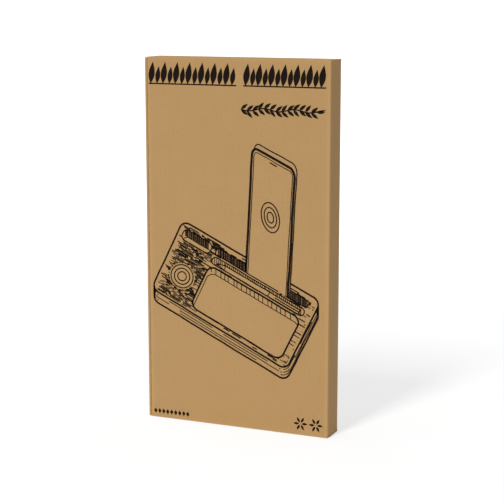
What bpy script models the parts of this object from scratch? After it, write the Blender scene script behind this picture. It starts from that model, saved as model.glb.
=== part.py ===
"""A wireless charger organizer of milled bamboo, lying in the closed kraft carton it is sold in.

The carton stands on its short end. +Z is up, the printed lid faces -Y, and the origin is on the
floor under the middle of the carton. Lengths are in metres.
"""

import math

import bmesh
import bpy
from mathutils import Matrix, Vector

# Charger organizer, overall
organizer_length = 0.238
organizer_width = 0.122
organizer_thickness = 0.014
organizer_corner_radius = 0.012
organizer_edge_radius = 0.0015

# Charger organizer, what is milled into its top
front_border = 0.008
back_border = 0.0095
end_border = 0.014
divider_wall = 0.008
recess_floor = 0.006
recess_corner_radius = 0.012
recess_floor_radius = 0.003
trough_width = 0.012
trough_wall = 0.004
trough_floor = 0.005
trough_corner_radius = 0.0058
trough_floor_radius = 0.005
slot_width = 0.011
slot_wall = 0.0035
slot_floor = 0.003
slot_corner_radius = 0.003
slot_floor_radius = 0.0006
compartment_width = 0.017
compartment_length = 0.050
compartment_floor = 0.005
compartment_corner_radius = 0.007
compartment_floor_radius = 0.003
compartment_end_border = 0.008

# Charger organizer, electronics cavity milled from below
port_wall = 0.012
cavity_length = 0.046
cavity_width = 0.046
cavity_from_front = 0.020
cavity_corner_radius = 0.004
charging_skin = 0.003
cover_margin_length = 0.005
cover_margin_width = 0.006
cover_thickness = 0.002
cover_corner_radius = 0.005
post_radius = 0.0018
post_inset = 0.003

# Charger organizer, coil and board
coil_wire = 0.0011
coil_pitch = 0.0016
coil_turns = 7
coil_to_ferrite_edge = 0.0003
coil_lead_from_wall = 0.0018
ferrite_margin = 0.0032
ferrite_thickness = 0.0008
ferrite_corner_radius = 0.002
ferrite_hole_radius = 0.003
board_end_play = 0.0015
board_side_play = 0.001
board_thickness = 0.001
board_corner_radius = 0.0012
board_tongue_width = 0.0108
board_tongue_reach = 0.0095
chip_side = 0.006
chip_height = 0.0009
transistor_side = 0.0034
transistor_pitch = 0.0058
inductor_side = 0.007
inductor_height = 0.003
inductor_corner_radius = 0.0021
inductor_step = 0.0006
capacitor_length = 0.0032
capacitor_width = 0.0016
capacitor_height = 0.0016
capacitor_pitch = 0.0034
capacitor_count = 5

# Charger organizer, socket and status lamp
socket_width = 0.0089
socket_height = 0.0032
socket_length = 0.0074
socket_wall = 0.0003
socket_setback = 0.001
tongue_width = 0.0064
tongue_thickness = 0.0007
tongue_length = 0.0048
port_width = 0.013
port_height = 0.0052
bezel_thickness = 0.0016
bezel_setback = 0.0003
lamp_from_port = 0.0105
lamp_length = 0.0032
lamp_width = 0.0016
lamp_height = 0.0014
light_pipe_radius = 0.001
light_pipe_setback = 0.0003

# Charger organizer, feet and screws
foot_radius = 0.0045
foot_height = 0.001
foot_depth = 0.0007
foot_from_end = 0.011
foot_from_side = 0.0078
screw_head_radius = 0.0018
screw_head_height = 0.0011
screw_shank_radius = 0.0009
screw_length = 0.0065
screw_inset = 0.003

# Carton, whose thickness of fluted board is called its card
card = 0.0015
carton_end_play = 0.0015
carton_side_play = 0.0025
carton_lid_play = 0.0007
corner_step = 0.0012
crease_radius = 0.0013
wall_end_radius = 0.0006
tab_length = 0.026
tab_taper = 0.0015
lock_tab_width = 0.018
lock_tab_from_middle = 0.035
lock_tab_setback = 0.0002
flap_length = 0.0125
flap_gap = 0.0004
flap_lean = math.radians(6.0)
flap_corner_radius = 0.006
flap_end_play = 0.001
flap_to_organizer = 0.00228

# Clearances
seat_gap = 0.0003
cut_overrun = 0.001

# How finely round shapes are cut, and the least corner that an inset outline keeps
corner_steps = 5
round_steps = 20
coil_steps = 24
crease_angle = math.radians(35.0)
least_radius_share = 0.08

# Worked out from the above: organizer
module_stack_top = organizer_thickness - charging_skin
cavity_end = port_wall + cavity_length
charge_zone_length = cavity_end + divider_wall
pocket_end = organizer_length - end_border
slot_back = organizer_width - back_border
slot_front = slot_back - slot_width
trough_back = slot_front - slot_wall
trough_front = trough_back - trough_width
recess_back = trough_front - trough_wall
coil_centre = (port_wall + cavity_length / 2, cavity_from_front + cavity_width / 2)
ferrite_length = cavity_length - 2 * ferrite_margin
ferrite_width = cavity_width - 2 * ferrite_margin
coil_outer_radius = min(ferrite_length, ferrite_width) / 2 - coil_to_ferrite_edge
board_length = cavity_length - 2 * board_end_play
board_width = cavity_width - 2 * board_side_play
coil_level = module_stack_top - seat_gap - coil_wire / 2
ferrite_level = coil_level - coil_wire / 2 - seat_gap - ferrite_thickness
board_level = ferrite_level - seat_gap - board_thickness
component_top = board_level - seat_gap
socket_level = component_top - socket_height / 2
board_start = port_wall + board_end_play

# Worked out from the above: carton
end_stack = 3 * card + 2 * seat_gap
flap_lean_reach = flap_length * math.sin(flap_lean)
flap_side_play = flap_gap + flap_lean_reach + card / math.cos(flap_lean) + flap_to_organizer
carton_height = 2 * end_stack + seat_gap + organizer_length + carton_end_play
carton_width = 2 * card + carton_side_play + organizer_width + flap_side_play
carton_depth = 2 * card + seat_gap + foot_height + organizer_thickness + carton_lid_play
half_width = carton_width / 2
half_depth = carton_depth / 2
inner_front = -half_depth + card + seat_gap
inner_back = half_depth - card - seat_gap
crease_x = -half_width + card + flap_gap
flap_low = end_stack + flap_end_play
flap_high = carton_height - flap_low


def clear_scene():
    for old in list(bpy.data.objects):
        bpy.data.objects.remove(old, do_unlink=True)


def make_material(name, colour, roughness, metallic=0.0):
    material = bpy.data.materials.new(name)
    material.use_nodes = True
    shader = material.node_tree.nodes["Principled BSDF"]
    shader.inputs["Base Color"].default_value = (*colour, 1.0)
    shader.inputs["Roughness"].default_value = roughness
    shader.inputs["Metallic"].default_value = metallic
    return material


def make_materials():
    return {
        "kraft": make_material("kraft_board", (0.46, 0.29, 0.125), 0.85),
        "kraft_inside": make_material("kraft_board_inside", (0.42, 0.27, 0.13), 0.9),
        "bamboo": make_material("bamboo", (0.62, 0.40, 0.17), 0.5),
        "black": make_material("black_plastic", (0.02, 0.02, 0.022), 0.45),
        "rubber": make_material("rubber", (0.03, 0.03, 0.03), 0.8),
        "steel": make_material("steel", (0.55, 0.55, 0.56), 0.3, 1.0),
        "copper": make_material("copper", (0.72, 0.32, 0.14), 0.35, 1.0),
        "ferrite": make_material("ferrite", (0.06, 0.06, 0.065), 0.55),
        "circuit": make_material("circuit_board", (0.015, 0.12, 0.05), 0.4),
        "ceramic": make_material("ceramic", (0.45, 0.33, 0.2), 0.4),
        "clear": make_material("clear_plastic", (0.85, 0.88, 0.9), 0.1),
    }


def add_frame(name, matrix, parent=None):
    """An empty that other pieces are placed in."""
    frame = bpy.data.objects.new(name, None)
    bpy.context.collection.objects.link(frame)
    frame.parent = parent
    frame.matrix_local = matrix
    return frame


def add_piece(name, body, material, frame):
    """Turns a bmesh into an object that rides in a frame."""
    bmesh.ops.recalc_face_normals(body, faces=body.faces)
    mesh = bpy.data.meshes.new(name)
    body.to_mesh(mesh)
    body.free()
    mesh.shade_smooth()
    mesh.set_sharp_from_angle(angle=crease_angle)
    piece = bpy.data.objects.new(name, mesh)
    piece.parent = frame
    bpy.context.collection.objects.link(piece)
    if material:
        mesh.materials.append(material)
    return piece


def change(piece, operation, name, body, frame):
    """Adds the bmesh's shape to a piece, or takes it out, with a Boolean."""
    tool = add_piece(name, body, None, frame)
    tool.hide_render = True
    tool.display_type = "WIRE"
    boolean = piece.modifiers.new(name, "BOOLEAN")
    boolean.operation = operation
    boolean.solver = "EXACT"
    boolean.object = tool


def cut(piece, name, body, frame):
    change(piece, "DIFFERENCE", name, body, frame)


def join(piece, name, body, frame):
    change(piece, "UNION", name, body, frame)


def settle(piece):
    """Makes a piece's Booleans its own mesh, and marks the edges that they made as sharp."""
    bpy.context.view_layer.update()
    evaluated = piece.evaluated_get(bpy.context.evaluated_depsgraph_get())
    mesh = bpy.data.meshes.new_from_object(evaluated)
    tools = [boolean.object for boolean in piece.modifiers]
    piece.modifiers.clear()
    piece.data = mesh
    for tool in tools:
        bpy.data.objects.remove(tool, do_unlink=True)
    mesh.shade_smooth()
    mesh.set_sharp_from_angle(angle=crease_angle)


def rectangle(low_a, low_b, high_a, high_b):
    return [(low_a, low_b), (high_a, low_b), (high_a, high_b), (low_a, high_b)]


def rounded_rectangle(low_a, low_b, high_a, high_b, radius, inset=0.0):
    """Outline with round corners, drawn in by inset on every side."""
    turn = max(radius - inset, radius * least_radius_share)
    centres = (
        (high_a - inset - turn, high_b - inset - turn, 0.0),
        (low_a + inset + turn, high_b - inset - turn, 0.5),
        (low_a + inset + turn, low_b + inset + turn, 1.0),
        (high_a - inset - turn, low_b + inset + turn, 1.5),
    )
    points = []
    for centre_a, centre_b, start in centres:
        for step in range(corner_steps + 1):
            angle = math.pi * (start + 0.5 * step / corner_steps)
            points.append((centre_a + turn * math.cos(angle), centre_b + turn * math.sin(angle)))
    return points


def circle(centre_a, centre_b, radius, steps=round_steps):
    turns = [2 * math.pi * step / steps for step in range(steps)]
    return [(centre_a + radius * math.cos(t), centre_b + radius * math.sin(t)) for t in turns]


def place_along(axis, a, b, level):
    """A point of an outline, with its level along the axis that the outline is square to."""
    if axis == "x":
        return Vector((level, a, b))
    if axis == "y":
        return Vector((a, level, b))
    return Vector((a, b, level))


def add_layers(body, layers, axis="z"):
    """Adds a closed body through outlines of equal point counts, each at its own level."""
    rings = [
        [body.verts.new(place_along(axis, a, b, level)) for a, b in outline]
        for outline, level in layers
    ]
    body.faces.new(rings[0][::-1])
    body.faces.new(rings[-1])
    count = len(rings[0])
    for lower, upper in zip(rings, rings[1:]):
        for index in range(count):
            after = (index + 1) % count
            body.faces.new((lower[index], lower[after], upper[after], upper[index]))


def prism(outline, low, high, axis="z"):
    body = bmesh.new()
    add_layers(body, [(outline, low), (outline, high)], axis)
    return body


def box(low, high):
    return prism(rectangle(low[0], low[1], high[0], high[1]), low[2], high[2])


def pocket(low_a, low_b, high_a, high_b, floor, corner_radius, floor_radius):
    """A milling cut from above, whose floor meets its walls in a hollow fillet."""
    layers = []
    for step in range(corner_steps + 1):
        angle = 0.5 * math.pi * step / corner_steps
        inset = floor_radius * (1 - math.sin(angle))
        level = floor + floor_radius * (1 - math.cos(angle))
        outline = rounded_rectangle(low_a, low_b, high_a, high_b, corner_radius, inset)
        layers.append((outline, level))
    top = rounded_rectangle(low_a, low_b, high_a, high_b, corner_radius)
    layers.append((top, organizer_thickness + cut_overrun))
    body = bmesh.new()
    add_layers(body, layers)
    return body


def four_corners(low_a, low_b, high_a, high_b, inset):
    """The four places that lie an inset in from a rectangle's corners."""
    return [
        (a, b)
        for a in (low_a + inset, high_a - inset)
        for b in (low_b + inset, high_b - inset)
    ]


def cover_bounds(margin_gap):
    """The bottom cover's rectangle, drawn in by a gap on every side."""
    centre_a, centre_b = coil_centre
    half_a = cavity_length / 2 + cover_margin_length - margin_gap
    half_b = cavity_width / 2 + cover_margin_width - margin_gap
    return centre_a - half_a, centre_b - half_b, centre_a + half_a, centre_b + half_b


def board_bounds():
    centre_a, centre_b = coil_centre
    half_a = board_length / 2
    half_b = board_width / 2
    return centre_a - half_a, centre_b - half_b, centre_a + half_a, centre_b + half_b


def screw_places():
    return four_corners(*cover_bounds(0.0), screw_inset)


def foot_places():
    near_a, far_a = foot_from_end, organizer_length - foot_from_end
    near_b, far_b = foot_from_side, organizer_width - foot_from_side
    return [(a, b) for a in (near_a, far_a) for b in (near_b, far_b)]


def port_outline(gap):
    """The socket's window in the end face, drawn in by a gap."""
    middle = coil_centre[1]
    return rounded_rectangle(
        middle - port_width / 2,
        socket_level - port_height / 2,
        middle + port_width / 2,
        socket_level + port_height / 2,
        port_height / 2 - seat_gap,
        gap,
    )


def socket_outline(grow):
    """The socket's stadium section, grown outwards."""
    middle = coil_centre[1]
    radius = socket_height / 2 + grow
    return rounded_rectangle(
        middle - socket_width / 2 - grow,
        socket_level - radius,
        middle + socket_width / 2 + grow,
        socket_level + radius,
        radius,
    )


def lamp_centre():
    return coil_centre[1] + lamp_from_port, component_top - lamp_height / 2


def build_bamboo_body(frame, material):
    """The block, with its edges rounded and its pockets milled."""
    layers = []
    for step in range(corner_steps + 1):
        angle = 0.5 * math.pi * step / corner_steps
        inset = organizer_edge_radius * (1 - math.sin(angle))
        outline = rounded_rectangle(
            0.0, 0.0, organizer_length, organizer_width, organizer_corner_radius, inset
        )
        layers.append((outline, organizer_edge_radius * (1 - math.cos(angle))))
    upper = [(outline, organizer_thickness - level) for outline, level in reversed(layers)]
    body = bmesh.new()
    add_layers(body, layers + upper)
    block = add_piece("bamboo_body", body, material, frame)

    pockets = {
        "recess": (
            charge_zone_length, front_border, pocket_end, recess_back,
            recess_floor, recess_corner_radius, recess_floor_radius,
        ),
        "pen_trough": (
            charge_zone_length, trough_front, pocket_end, trough_back,
            trough_floor, trough_corner_radius, trough_floor_radius,
        ),
        "phone_slot": (
            charge_zone_length, slot_front, pocket_end, slot_back,
            slot_floor, slot_corner_radius, slot_floor_radius,
        ),
        "compartment": (
            compartment_end_border, slot_back - compartment_width,
            compartment_end_border + compartment_length, slot_back,
            compartment_floor, compartment_corner_radius, compartment_floor_radius,
        ),
    }
    for name, sizes in pockets.items():
        cut(block, f"cut_{name}", pocket(*sizes), frame)

    centre_a, centre_b = coil_centre
    cavity = rounded_rectangle(
        centre_a - cavity_length / 2, centre_b - cavity_width / 2,
        centre_a + cavity_length / 2, centre_b + cavity_width / 2,
        cavity_corner_radius,
    )
    cut(block, "cut_cavity", prism(cavity, -cut_overrun, module_stack_top), frame)
    seat = rounded_rectangle(*cover_bounds(0.0), cover_corner_radius)
    cut(block, "cut_cover_seat", prism(seat, -cut_overrun, cover_thickness + seat_gap), frame)
    tongue_half = board_tongue_width / 2 + seat_gap
    tongue_low = (board_start - board_tongue_reach - seat_gap, centre_b - tongue_half, socket_level)
    tongue_top = ferrite_level
    tongue_high = (port_wall + cut_overrun, centre_b + tongue_half, tongue_top)
    cut(block, "cut_board_tongue", box(tongue_low, tongue_high), frame)
    port = port_outline(0.0)
    cut(block, "cut_port", prism(port, -cut_overrun, port_wall + cut_overrun, "x"), frame)
    lamp_hole = circle(*lamp_centre(), light_pipe_radius + seat_gap)
    cut(block, "cut_lamp", prism(lamp_hole, -cut_overrun, port_wall + cut_overrun, "x"), frame)
    for number, (a, b) in enumerate(screw_places()):
        pilot = circle(a, b, screw_shank_radius + seat_gap)
        depth = screw_length + seat_gap
        cut(block, f"cut_screw_{number}", prism(pilot, -cut_overrun, depth), frame)
    for number, (a, b) in enumerate(foot_places()):
        seat = circle(a, b, foot_radius + seat_gap)
        depth = foot_depth + seat_gap
        cut(block, f"cut_foot_{number}", prism(seat, -cut_overrun, depth), frame)
    settle(block)


def build_bottom_cover(frame, material):
    """The plate under the electronics, with four posts that carry the board."""
    outline = rounded_rectangle(*cover_bounds(seat_gap), cover_corner_radius)
    cover = add_piece("bottom_cover", prism(outline, 0.0, cover_thickness), material, frame)
    for number, (a, b) in enumerate(four_corners(*board_bounds(), post_inset)):
        post = prism(circle(a, b, post_radius), cover_thickness / 2, board_level - seat_gap)
        join(cover, f"join_post_{number}", post, frame)
    for number, (a, b) in enumerate(screw_places()):
        wide = circle(a, b, screw_head_radius + seat_gap)
        narrow = circle(a, b, screw_shank_radius + seat_gap)
        body = bmesh.new()
        add_layers(body, [(wide, -cut_overrun), (wide, 0.0), (narrow, screw_head_height),
                          (narrow, cover_thickness + cut_overrun)])
        cut(cover, f"cut_countersink_{number}", body, frame)
    settle(cover)


def build_cover_screws(frame, material):
    for number, (a, b) in enumerate(screw_places(), 1):
        head = circle(a, b, screw_head_radius)
        shank = circle(a, b, screw_shank_radius)
        tip = circle(a, b, screw_shank_radius / 2)
        body = bmesh.new()
        add_layers(body, [(head, 0.0), (shank, screw_head_height),
                          (shank, screw_length - screw_shank_radius), (tip, screw_length)])
        add_piece(f"cover_screw_{number}", body, material, frame)


def build_rubber_feet(frame, material):
    """Round feet that stand proud of the underside, with a soft lower edge."""
    soft_edge = foot_height / 2
    for number, (a, b) in enumerate(foot_places(), 1):
        full = circle(a, b, foot_radius)
        drawn_in = circle(a, b, foot_radius - soft_edge / 2)
        body = bmesh.new()
        add_layers(body, [(drawn_in, -foot_height), (full, soft_edge - foot_height),
                          (full, foot_depth)])
        add_piece(f"rubber_foot_{number}", body, material, frame)


def coil_route():
    """Points of the coil's wire: outer lead, flat spiral, inner lead."""
    centre_a, centre_b = coil_centre
    end_level = board_level + board_thickness + seat_gap
    lead_radius = cavity_width / 2 - coil_lead_from_wall
    start_angle = 0.5 * math.pi
    points = [
        (centre_a, centre_b + lead_radius, end_level),
        (centre_a, centre_b + lead_radius, coil_level - coil_wire),
        (centre_a, centre_b + lead_radius - coil_wire / 2, coil_level - coil_wire / 4),
        (centre_a, centre_b + lead_radius - coil_wire, coil_level),
    ]
    for step in range(coil_turns * coil_steps + 1):
        turned = step / coil_steps
        radius = coil_outer_radius - turned * coil_pitch
        angle = start_angle + 2 * math.pi * turned
        points.append((centre_a + radius * math.cos(angle), centre_b + radius * math.sin(angle),
                       coil_level))
    inner = coil_wire
    points += [
        (centre_a, centre_b + 2 * inner, coil_level),
        (centre_a, centre_b + inner, coil_level - coil_wire / 4),
        (centre_a, centre_b + inner / 2, coil_level - coil_wire),
        (centre_a, centre_b + inner / 2, end_level),
    ]
    return points


def report_coil_gap():
    """Prints the least gap between neighbouring turns, measured on the wire's points."""
    spiral = [Vector(point) for point in coil_route()[4:-4]]
    later = range(coil_steps // 2, len(spiral))
    least = min((spiral[i] - spiral[i - back]).length for i in later
                for back in range(coil_steps // 2, min(i, coil_steps + 2) + 1))
    print(f"least gap between turns of the coil: {1000 * (least - coil_wire):.2f} mm")


def build_charging_coil(frame, material):
    curve = bpy.data.curves.new("charging_coil", "CURVE")
    curve.dimensions = "3D"
    curve.bevel_depth = coil_wire / 2
    curve.bevel_resolution = 1
    curve.use_fill_caps = True
    route = coil_route()
    spline = curve.splines.new("POLY")
    spline.points.add(len(route) - 1)
    for point, place in zip(spline.points, route):
        point.co = (*place, 1.0)
    curve.materials.append(material)
    coil = bpy.data.objects.new("charging_coil", curve)
    coil.parent = frame
    bpy.context.collection.objects.link(coil)


def build_ferrite_sheet(frame, material):
    centre_a, centre_b = coil_centre
    half_a = ferrite_length / 2
    half_b = ferrite_width / 2
    outline = rounded_rectangle(
        centre_a - half_a, centre_b - half_b, centre_a + half_a, centre_b + half_b,
        ferrite_corner_radius,
    )
    body = prism(outline, ferrite_level, ferrite_level + ferrite_thickness)
    sheet = add_piece("ferrite_sheet", body, material, frame)
    hole = prism(
        circle(centre_a, centre_b, ferrite_hole_radius),
        ferrite_level - cut_overrun, ferrite_level + ferrite_thickness + cut_overrun,
    )
    cut(sheet, "cut_lead_hole", hole, frame)
    settle(sheet)


def build_circuit_board(frame, material):
    """The board, with a tongue that reaches into the end wall under the socket."""
    low_a, low_b, high_a, high_b = board_bounds()
    middle = coil_centre[1]
    half_tongue = board_tongue_width / 2
    plate = rounded_rectangle(low_a, low_b, high_a, high_b, board_corner_radius)
    # The near long side runs from the second corner to the third, and carries the tongue.
    split = 2 * (corner_steps + 1)
    tongue = [
        (low_a, middle + half_tongue),
        (low_a - board_tongue_reach, middle + half_tongue),
        (low_a - board_tongue_reach, middle - half_tongue),
        (low_a, middle - half_tongue),
    ]
    outline = plate[:split] + tongue + plate[split:]
    body = prism(outline, board_level, board_level + board_thickness)
    add_piece("circuit_board", body, material, frame)


def chip_body(centre, side_a, side_b, height):
    """A component that hangs under the board, with its far face drawn in a little."""
    a, b = centre
    draft = height / 6
    full = rectangle(a - side_a / 2, b - side_b / 2, a + side_a / 2, b + side_b / 2)
    drawn = rectangle(a - side_a / 2 + draft, b - side_b / 2 + draft,
                      a + side_a / 2 - draft, b + side_b / 2 - draft)
    body = bmesh.new()
    add_layers(body, [(drawn, component_top - height), (full, component_top)])
    return body


def build_controller_chip(frame, material):
    body = chip_body(coil_centre, chip_side, chip_side, chip_height)
    add_piece("controller_chip", body, material, frame)


def build_bridge_transistors(frame, material):
    """Four power switches in a square block beside the controller."""
    half = transistor_pitch / 2
    centre_a = coil_centre[0] + chip_side + transistor_pitch
    centre_b = coil_centre[1]
    places = four_corners(centre_a - half, centre_b - half, centre_a + half, centre_b + half, 0.0)
    for number, place in enumerate(places, 1):
        body = chip_body(place, transistor_side, transistor_side, chip_height)
        add_piece(f"bridge_transistor_{number}", body, material, frame)


def build_power_inductor(frame, material):
    """A shielded inductor, its far face drawn in."""
    centre_a = coil_centre[0]
    centre_b = coil_centre[1] - chip_side / 2 - inductor_side
    half = inductor_side / 2
    radius = inductor_corner_radius
    base = component_top - inductor_height + inductor_step
    square = rounded_rectangle(centre_a - half, centre_b - half, centre_a + half, centre_b + half,
                               radius)
    drawn = rounded_rectangle(centre_a - half, centre_b - half, centre_a + half, centre_b + half,
                              radius, inductor_step)
    body = bmesh.new()
    add_layers(body, [(drawn, component_top - inductor_height), (square, base),
                      (square, component_top)])
    add_piece("power_inductor", body, material, frame)


def build_resonance_capacitors(frame, material):
    """A row of ceramic blocks."""
    centre_a = coil_centre[0]
    centre_b = coil_centre[1] + chip_side + capacitor_length
    for number in range(capacitor_count):
        along = (number - (capacitor_count - 1) / 2) * capacitor_pitch
        place = (centre_a + along, centre_b)
        body = chip_body(place, capacitor_width, capacitor_length, capacitor_height)
        add_piece(f"resonance_capacitor_{number + 1}", body, material, frame)


def build_socket(frame, shell_material, tongue_material):
    """The power socket: a rolled shell, closed behind, with its contact tongue."""
    shell_end = socket_setback + socket_length
    body = prism(socket_outline(0.0), socket_setback, shell_end, "x")
    shell = add_piece("usb_socket_shell", body, shell_material, frame)
    inner_end = shell_end - socket_wall
    mouth = prism(socket_outline(-socket_wall), socket_setback - cut_overrun, inner_end, "x")
    cut(shell, "cut_socket_mouth", mouth, frame)
    settle(shell)

    middle = coil_centre[1]
    root = inner_end - seat_gap
    outline = rounded_rectangle(
        middle - tongue_width / 2, socket_level - tongue_thickness / 2,
        middle + tongue_width / 2, socket_level + tongue_thickness / 2,
        tongue_thickness / 4,
    )
    add_piece("usb_socket_tongue", prism(outline, root - tongue_length, root, "x"),
              tongue_material, frame)


def build_port_bezel(frame, material):
    low, high = bezel_setback, bezel_setback + bezel_thickness
    bezel = add_piece("port_bezel", prism(port_outline(seat_gap), low, high, "x"), material, frame)
    hole = prism(socket_outline(seat_gap), low - cut_overrun, high + cut_overrun, "x")
    cut(bezel, "cut_bezel_hole", hole, frame)
    settle(bezel)


def build_status_lamp(frame, lamp_material, pipe_material):
    """The lamp on the board's edge and the clear rod that takes its light to the end face."""
    middle, level = lamp_centre()
    lamp_start = board_start + seat_gap
    outline = rectangle(middle - lamp_length / 2, level - lamp_height / 2,
                        middle + lamp_length / 2, level + lamp_height / 2)
    body = prism(outline, lamp_start, lamp_start + lamp_width, "x")
    add_piece("status_led", body, lamp_material, frame)
    pipe = prism(circle(middle, level, light_pipe_radius), light_pipe_setback,
                 lamp_start - seat_gap, "x")
    add_piece("light_pipe", pipe, pipe_material, frame)


def build_organizer(materials):
    """Everything that lies in the carton, in the organizer's own frame.

    There x runs from the socket end to the far end, y from the front edge to the phone slot, and
    z from the underside to the top. In the carton the socket end is down and the top faces the lid.
    """
    turned = Matrix(((0, -1, 0), (0, 0, -1), (1, 0, 0))).to_4x4()
    corner = Vector((
        half_width - card - carton_side_play,
        half_depth - card - seat_gap - foot_height,
        end_stack + seat_gap,
    ))
    frame = add_frame("organizer_frame", Matrix.Translation(corner) @ turned)
    build_bamboo_body(frame, materials["bamboo"])
    build_bottom_cover(frame, materials["black"])
    build_cover_screws(frame, materials["steel"])
    build_rubber_feet(frame, materials["rubber"])
    build_charging_coil(frame, materials["copper"])
    build_ferrite_sheet(frame, materials["ferrite"])
    build_circuit_board(frame, materials["circuit"])
    build_controller_chip(frame, materials["black"])
    build_bridge_transistors(frame, materials["black"])
    build_power_inductor(frame, materials["ferrite"])
    build_resonance_capacitors(frame, materials["ceramic"])
    build_socket(frame, materials["steel"], materials["black"])
    build_port_bezel(frame, materials["black"])
    build_status_lamp(frame, materials["clear"], materials["clear"])


def lock_tab_centres():
    return (-lock_tab_from_middle, lock_tab_from_middle)


def build_back_panel(frame, material):
    """The tray's floor. Its outer edges are creases, and its slots take the lock tabs."""
    whole = rectangle(-half_width, 0.0, half_width, carton_height)
    layers = [(whole, half_depth - card)]
    for step in range(corner_steps + 1):
        angle = 0.5 * math.pi * step / corner_steps
        inset = crease_radius * (1 - math.cos(angle))
        level = half_depth - crease_radius + crease_radius * math.sin(angle)
        outline = rectangle(-half_width + inset, inset, half_width - inset, carton_height - inset)
        layers.append((outline, level))
    body = bmesh.new()
    add_layers(body, layers, "y")
    panel = add_piece("carton_back_panel", body, material, frame)
    # The rolled inner panel lies two boards in from each end.
    inner_panel_low = 2 * card + seat_gap
    slot_high = inner_panel_low + card + 2 * seat_gap
    slot_half = lock_tab_width / 2 + seat_gap
    for number, centre in enumerate(lock_tab_centres()):
        low = (centre - slot_half, inner_back, inner_panel_low)
        high = (centre + slot_half, half_depth + cut_overrun, slot_high)
        cut(panel, f"cut_lock_slot_low_{number}", box(low, high), frame)
        low_top = (low[0], low[1], carton_height - slot_high)
        high_top = (high[0], high[1], carton_height - inner_panel_low)
        cut(panel, f"cut_lock_slot_high_{number}", box(low_top, high_top), frame)
    settle(panel)


def build_side_walls(frame, material):
    """The two long walls of the tray, each with small rounds at its raw ends."""
    low = card + seat_gap
    hinge_wall = rounded_rectangle(
        half_width - card, low, half_width, carton_height - low, wall_end_radius
    )
    body = prism(hinge_wall, inner_front, inner_back, "y")
    add_piece("hinge_side_wall", body, material, frame)
    tuck_wall = rounded_rectangle(
        -half_width, corner_step, -half_width + card, carton_height - corner_step,
        wall_end_radius,
    )
    body = prism(tuck_wall, -half_depth, inner_back, "y")
    add_piece("tuck_side_wall", body, material, frame)


def build_end_wall(name, frame, material, mirrored):
    """A short wall rolled double over the corner tabs, with lock tabs into the floor."""

    def level(height):
        return carton_height - height if mirrored else height

    left = -half_width + card + seat_gap
    right = half_width - card - seat_gap
    roll_back = inner_front + card
    inner_low = 2 * card + 2 * seat_gap
    inner_high = inner_low + card
    soft = crease_radius / 2
    section = [
        (inner_back, level(0.0)),
        (inner_back, level(card)),
        (roll_back, level(card)),
        (roll_back, level(inner_low)),
        (inner_back, level(inner_low)),
        (inner_back, level(inner_high)),
        (inner_front + soft, level(inner_high)),
        (inner_front, level(inner_high - soft)),
        (inner_front, level(soft)),
        (inner_front + soft, level(0.0)),
    ]
    wall = add_piece(name, prism(section, left, right, "x"), material, frame)
    # The outer layer alone runs on over the hinge wall's end.
    bottom, top = sorted((level(0.0), level(card)))
    edge = box((right - card, inner_front + soft, bottom), (half_width, inner_back, top))
    join(wall, f"join_{name}_edge", edge, frame)
    bottom, top = sorted((level(inner_low), level(inner_high)))
    for number, centre in enumerate(lock_tab_centres()):
        low = (centre - lock_tab_width / 2, inner_back - card, bottom)
        high = (centre + lock_tab_width / 2, half_depth - lock_tab_setback, top)
        join(wall, f"join_{name}_lock_{number}", box(low, high), frame)
    settle(wall)


def build_corner_tabs(frame, material):
    """Tabs of the long walls, folded in between the two layers of the end walls."""
    front = inner_front + card + seat_gap
    root = half_width - card - seat_gap
    low = card + seat_gap
    high = carton_height - low
    for wall, side in (("tuck", -1), ("hinge", 1)):
        outline = [
            (side * root, front),
            (side * root, inner_back),
            (side * (root - tab_length), inner_back - tab_taper),
            (side * (root - tab_length), front + tab_taper),
        ]
        add_piece(f"{wall}_wall_tab_low", prism(outline, low, low + card), material, frame)
        add_piece(f"{wall}_wall_tab_high", prism(outline, high - card, high), material, frame)


def build_lid(material):
    """The printed front. Its frame lies on the crease that joins it to the hinge wall."""
    axis = Vector((half_width, -half_depth, 0.0))
    frame = add_frame("lid_hinge_axis", Matrix.Translation(axis))
    left = crease_x - half_width
    outline = [(left, card)]
    for centre_x, start in ((left + crease_radius, 1.0), (-crease_radius, 1.5)):
        for step in range(corner_steps + 1):
            angle = math.pi * (start + 0.5 * step / corner_steps)
            outline.append((centre_x + crease_radius * math.cos(angle),
                            crease_radius + crease_radius * math.sin(angle)))
    outline.append((0.0, card))
    body = prism(outline, seat_gap, carton_height)
    add_piece("lid_panel", body, material, frame)
    return frame


def build_tuck_flap(lid_frame, material):
    """The lid's flap, in a frame on the crease at the lid's free edge."""
    axis = Vector((crease_x - half_width, 0.0, 0.0))
    lean = Matrix.Rotation(-flap_lean, 4, "Z")
    frame = add_frame("tuck_fold_axis", Matrix.Translation(axis), lid_frame)
    start = (card + seat_gap) / math.cos(flap_lean)
    corner = flap_corner_radius
    outline = [(start, flap_low)]
    for centre_z, turn in ((flap_low + corner, -0.5), (flap_high - corner, 0.0)):
        for step in range(corner_steps + 1):
            angle = math.pi * (turn + 0.5 * step / corner_steps)
            outline.append((flap_length - corner + corner * math.cos(angle),
                            centre_z + corner * math.sin(angle)))
    outline.append((start, flap_high))
    body = prism(outline, 0.0, card, "x")
    bmesh.ops.transform(body, matrix=lean, verts=body.verts)
    add_piece("lid_tuck_flap", body, material, frame)


def build_carton(materials):
    """One blank of fluted board, folded to a tray with rolled ends and a book-like lid."""
    frame = add_frame("carton_frame", Matrix.Identity(4))
    kraft = materials["kraft"]
    inside = materials["kraft_inside"]
    build_back_panel(frame, kraft)
    build_side_walls(frame, kraft)
    build_end_wall("bottom_end_wall", frame, kraft, mirrored=False)
    build_end_wall("top_end_wall", frame, kraft, mirrored=True)
    build_corner_tabs(frame, inside)
    lid_frame = build_lid(kraft)
    build_tuck_flap(lid_frame, kraft)


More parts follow.
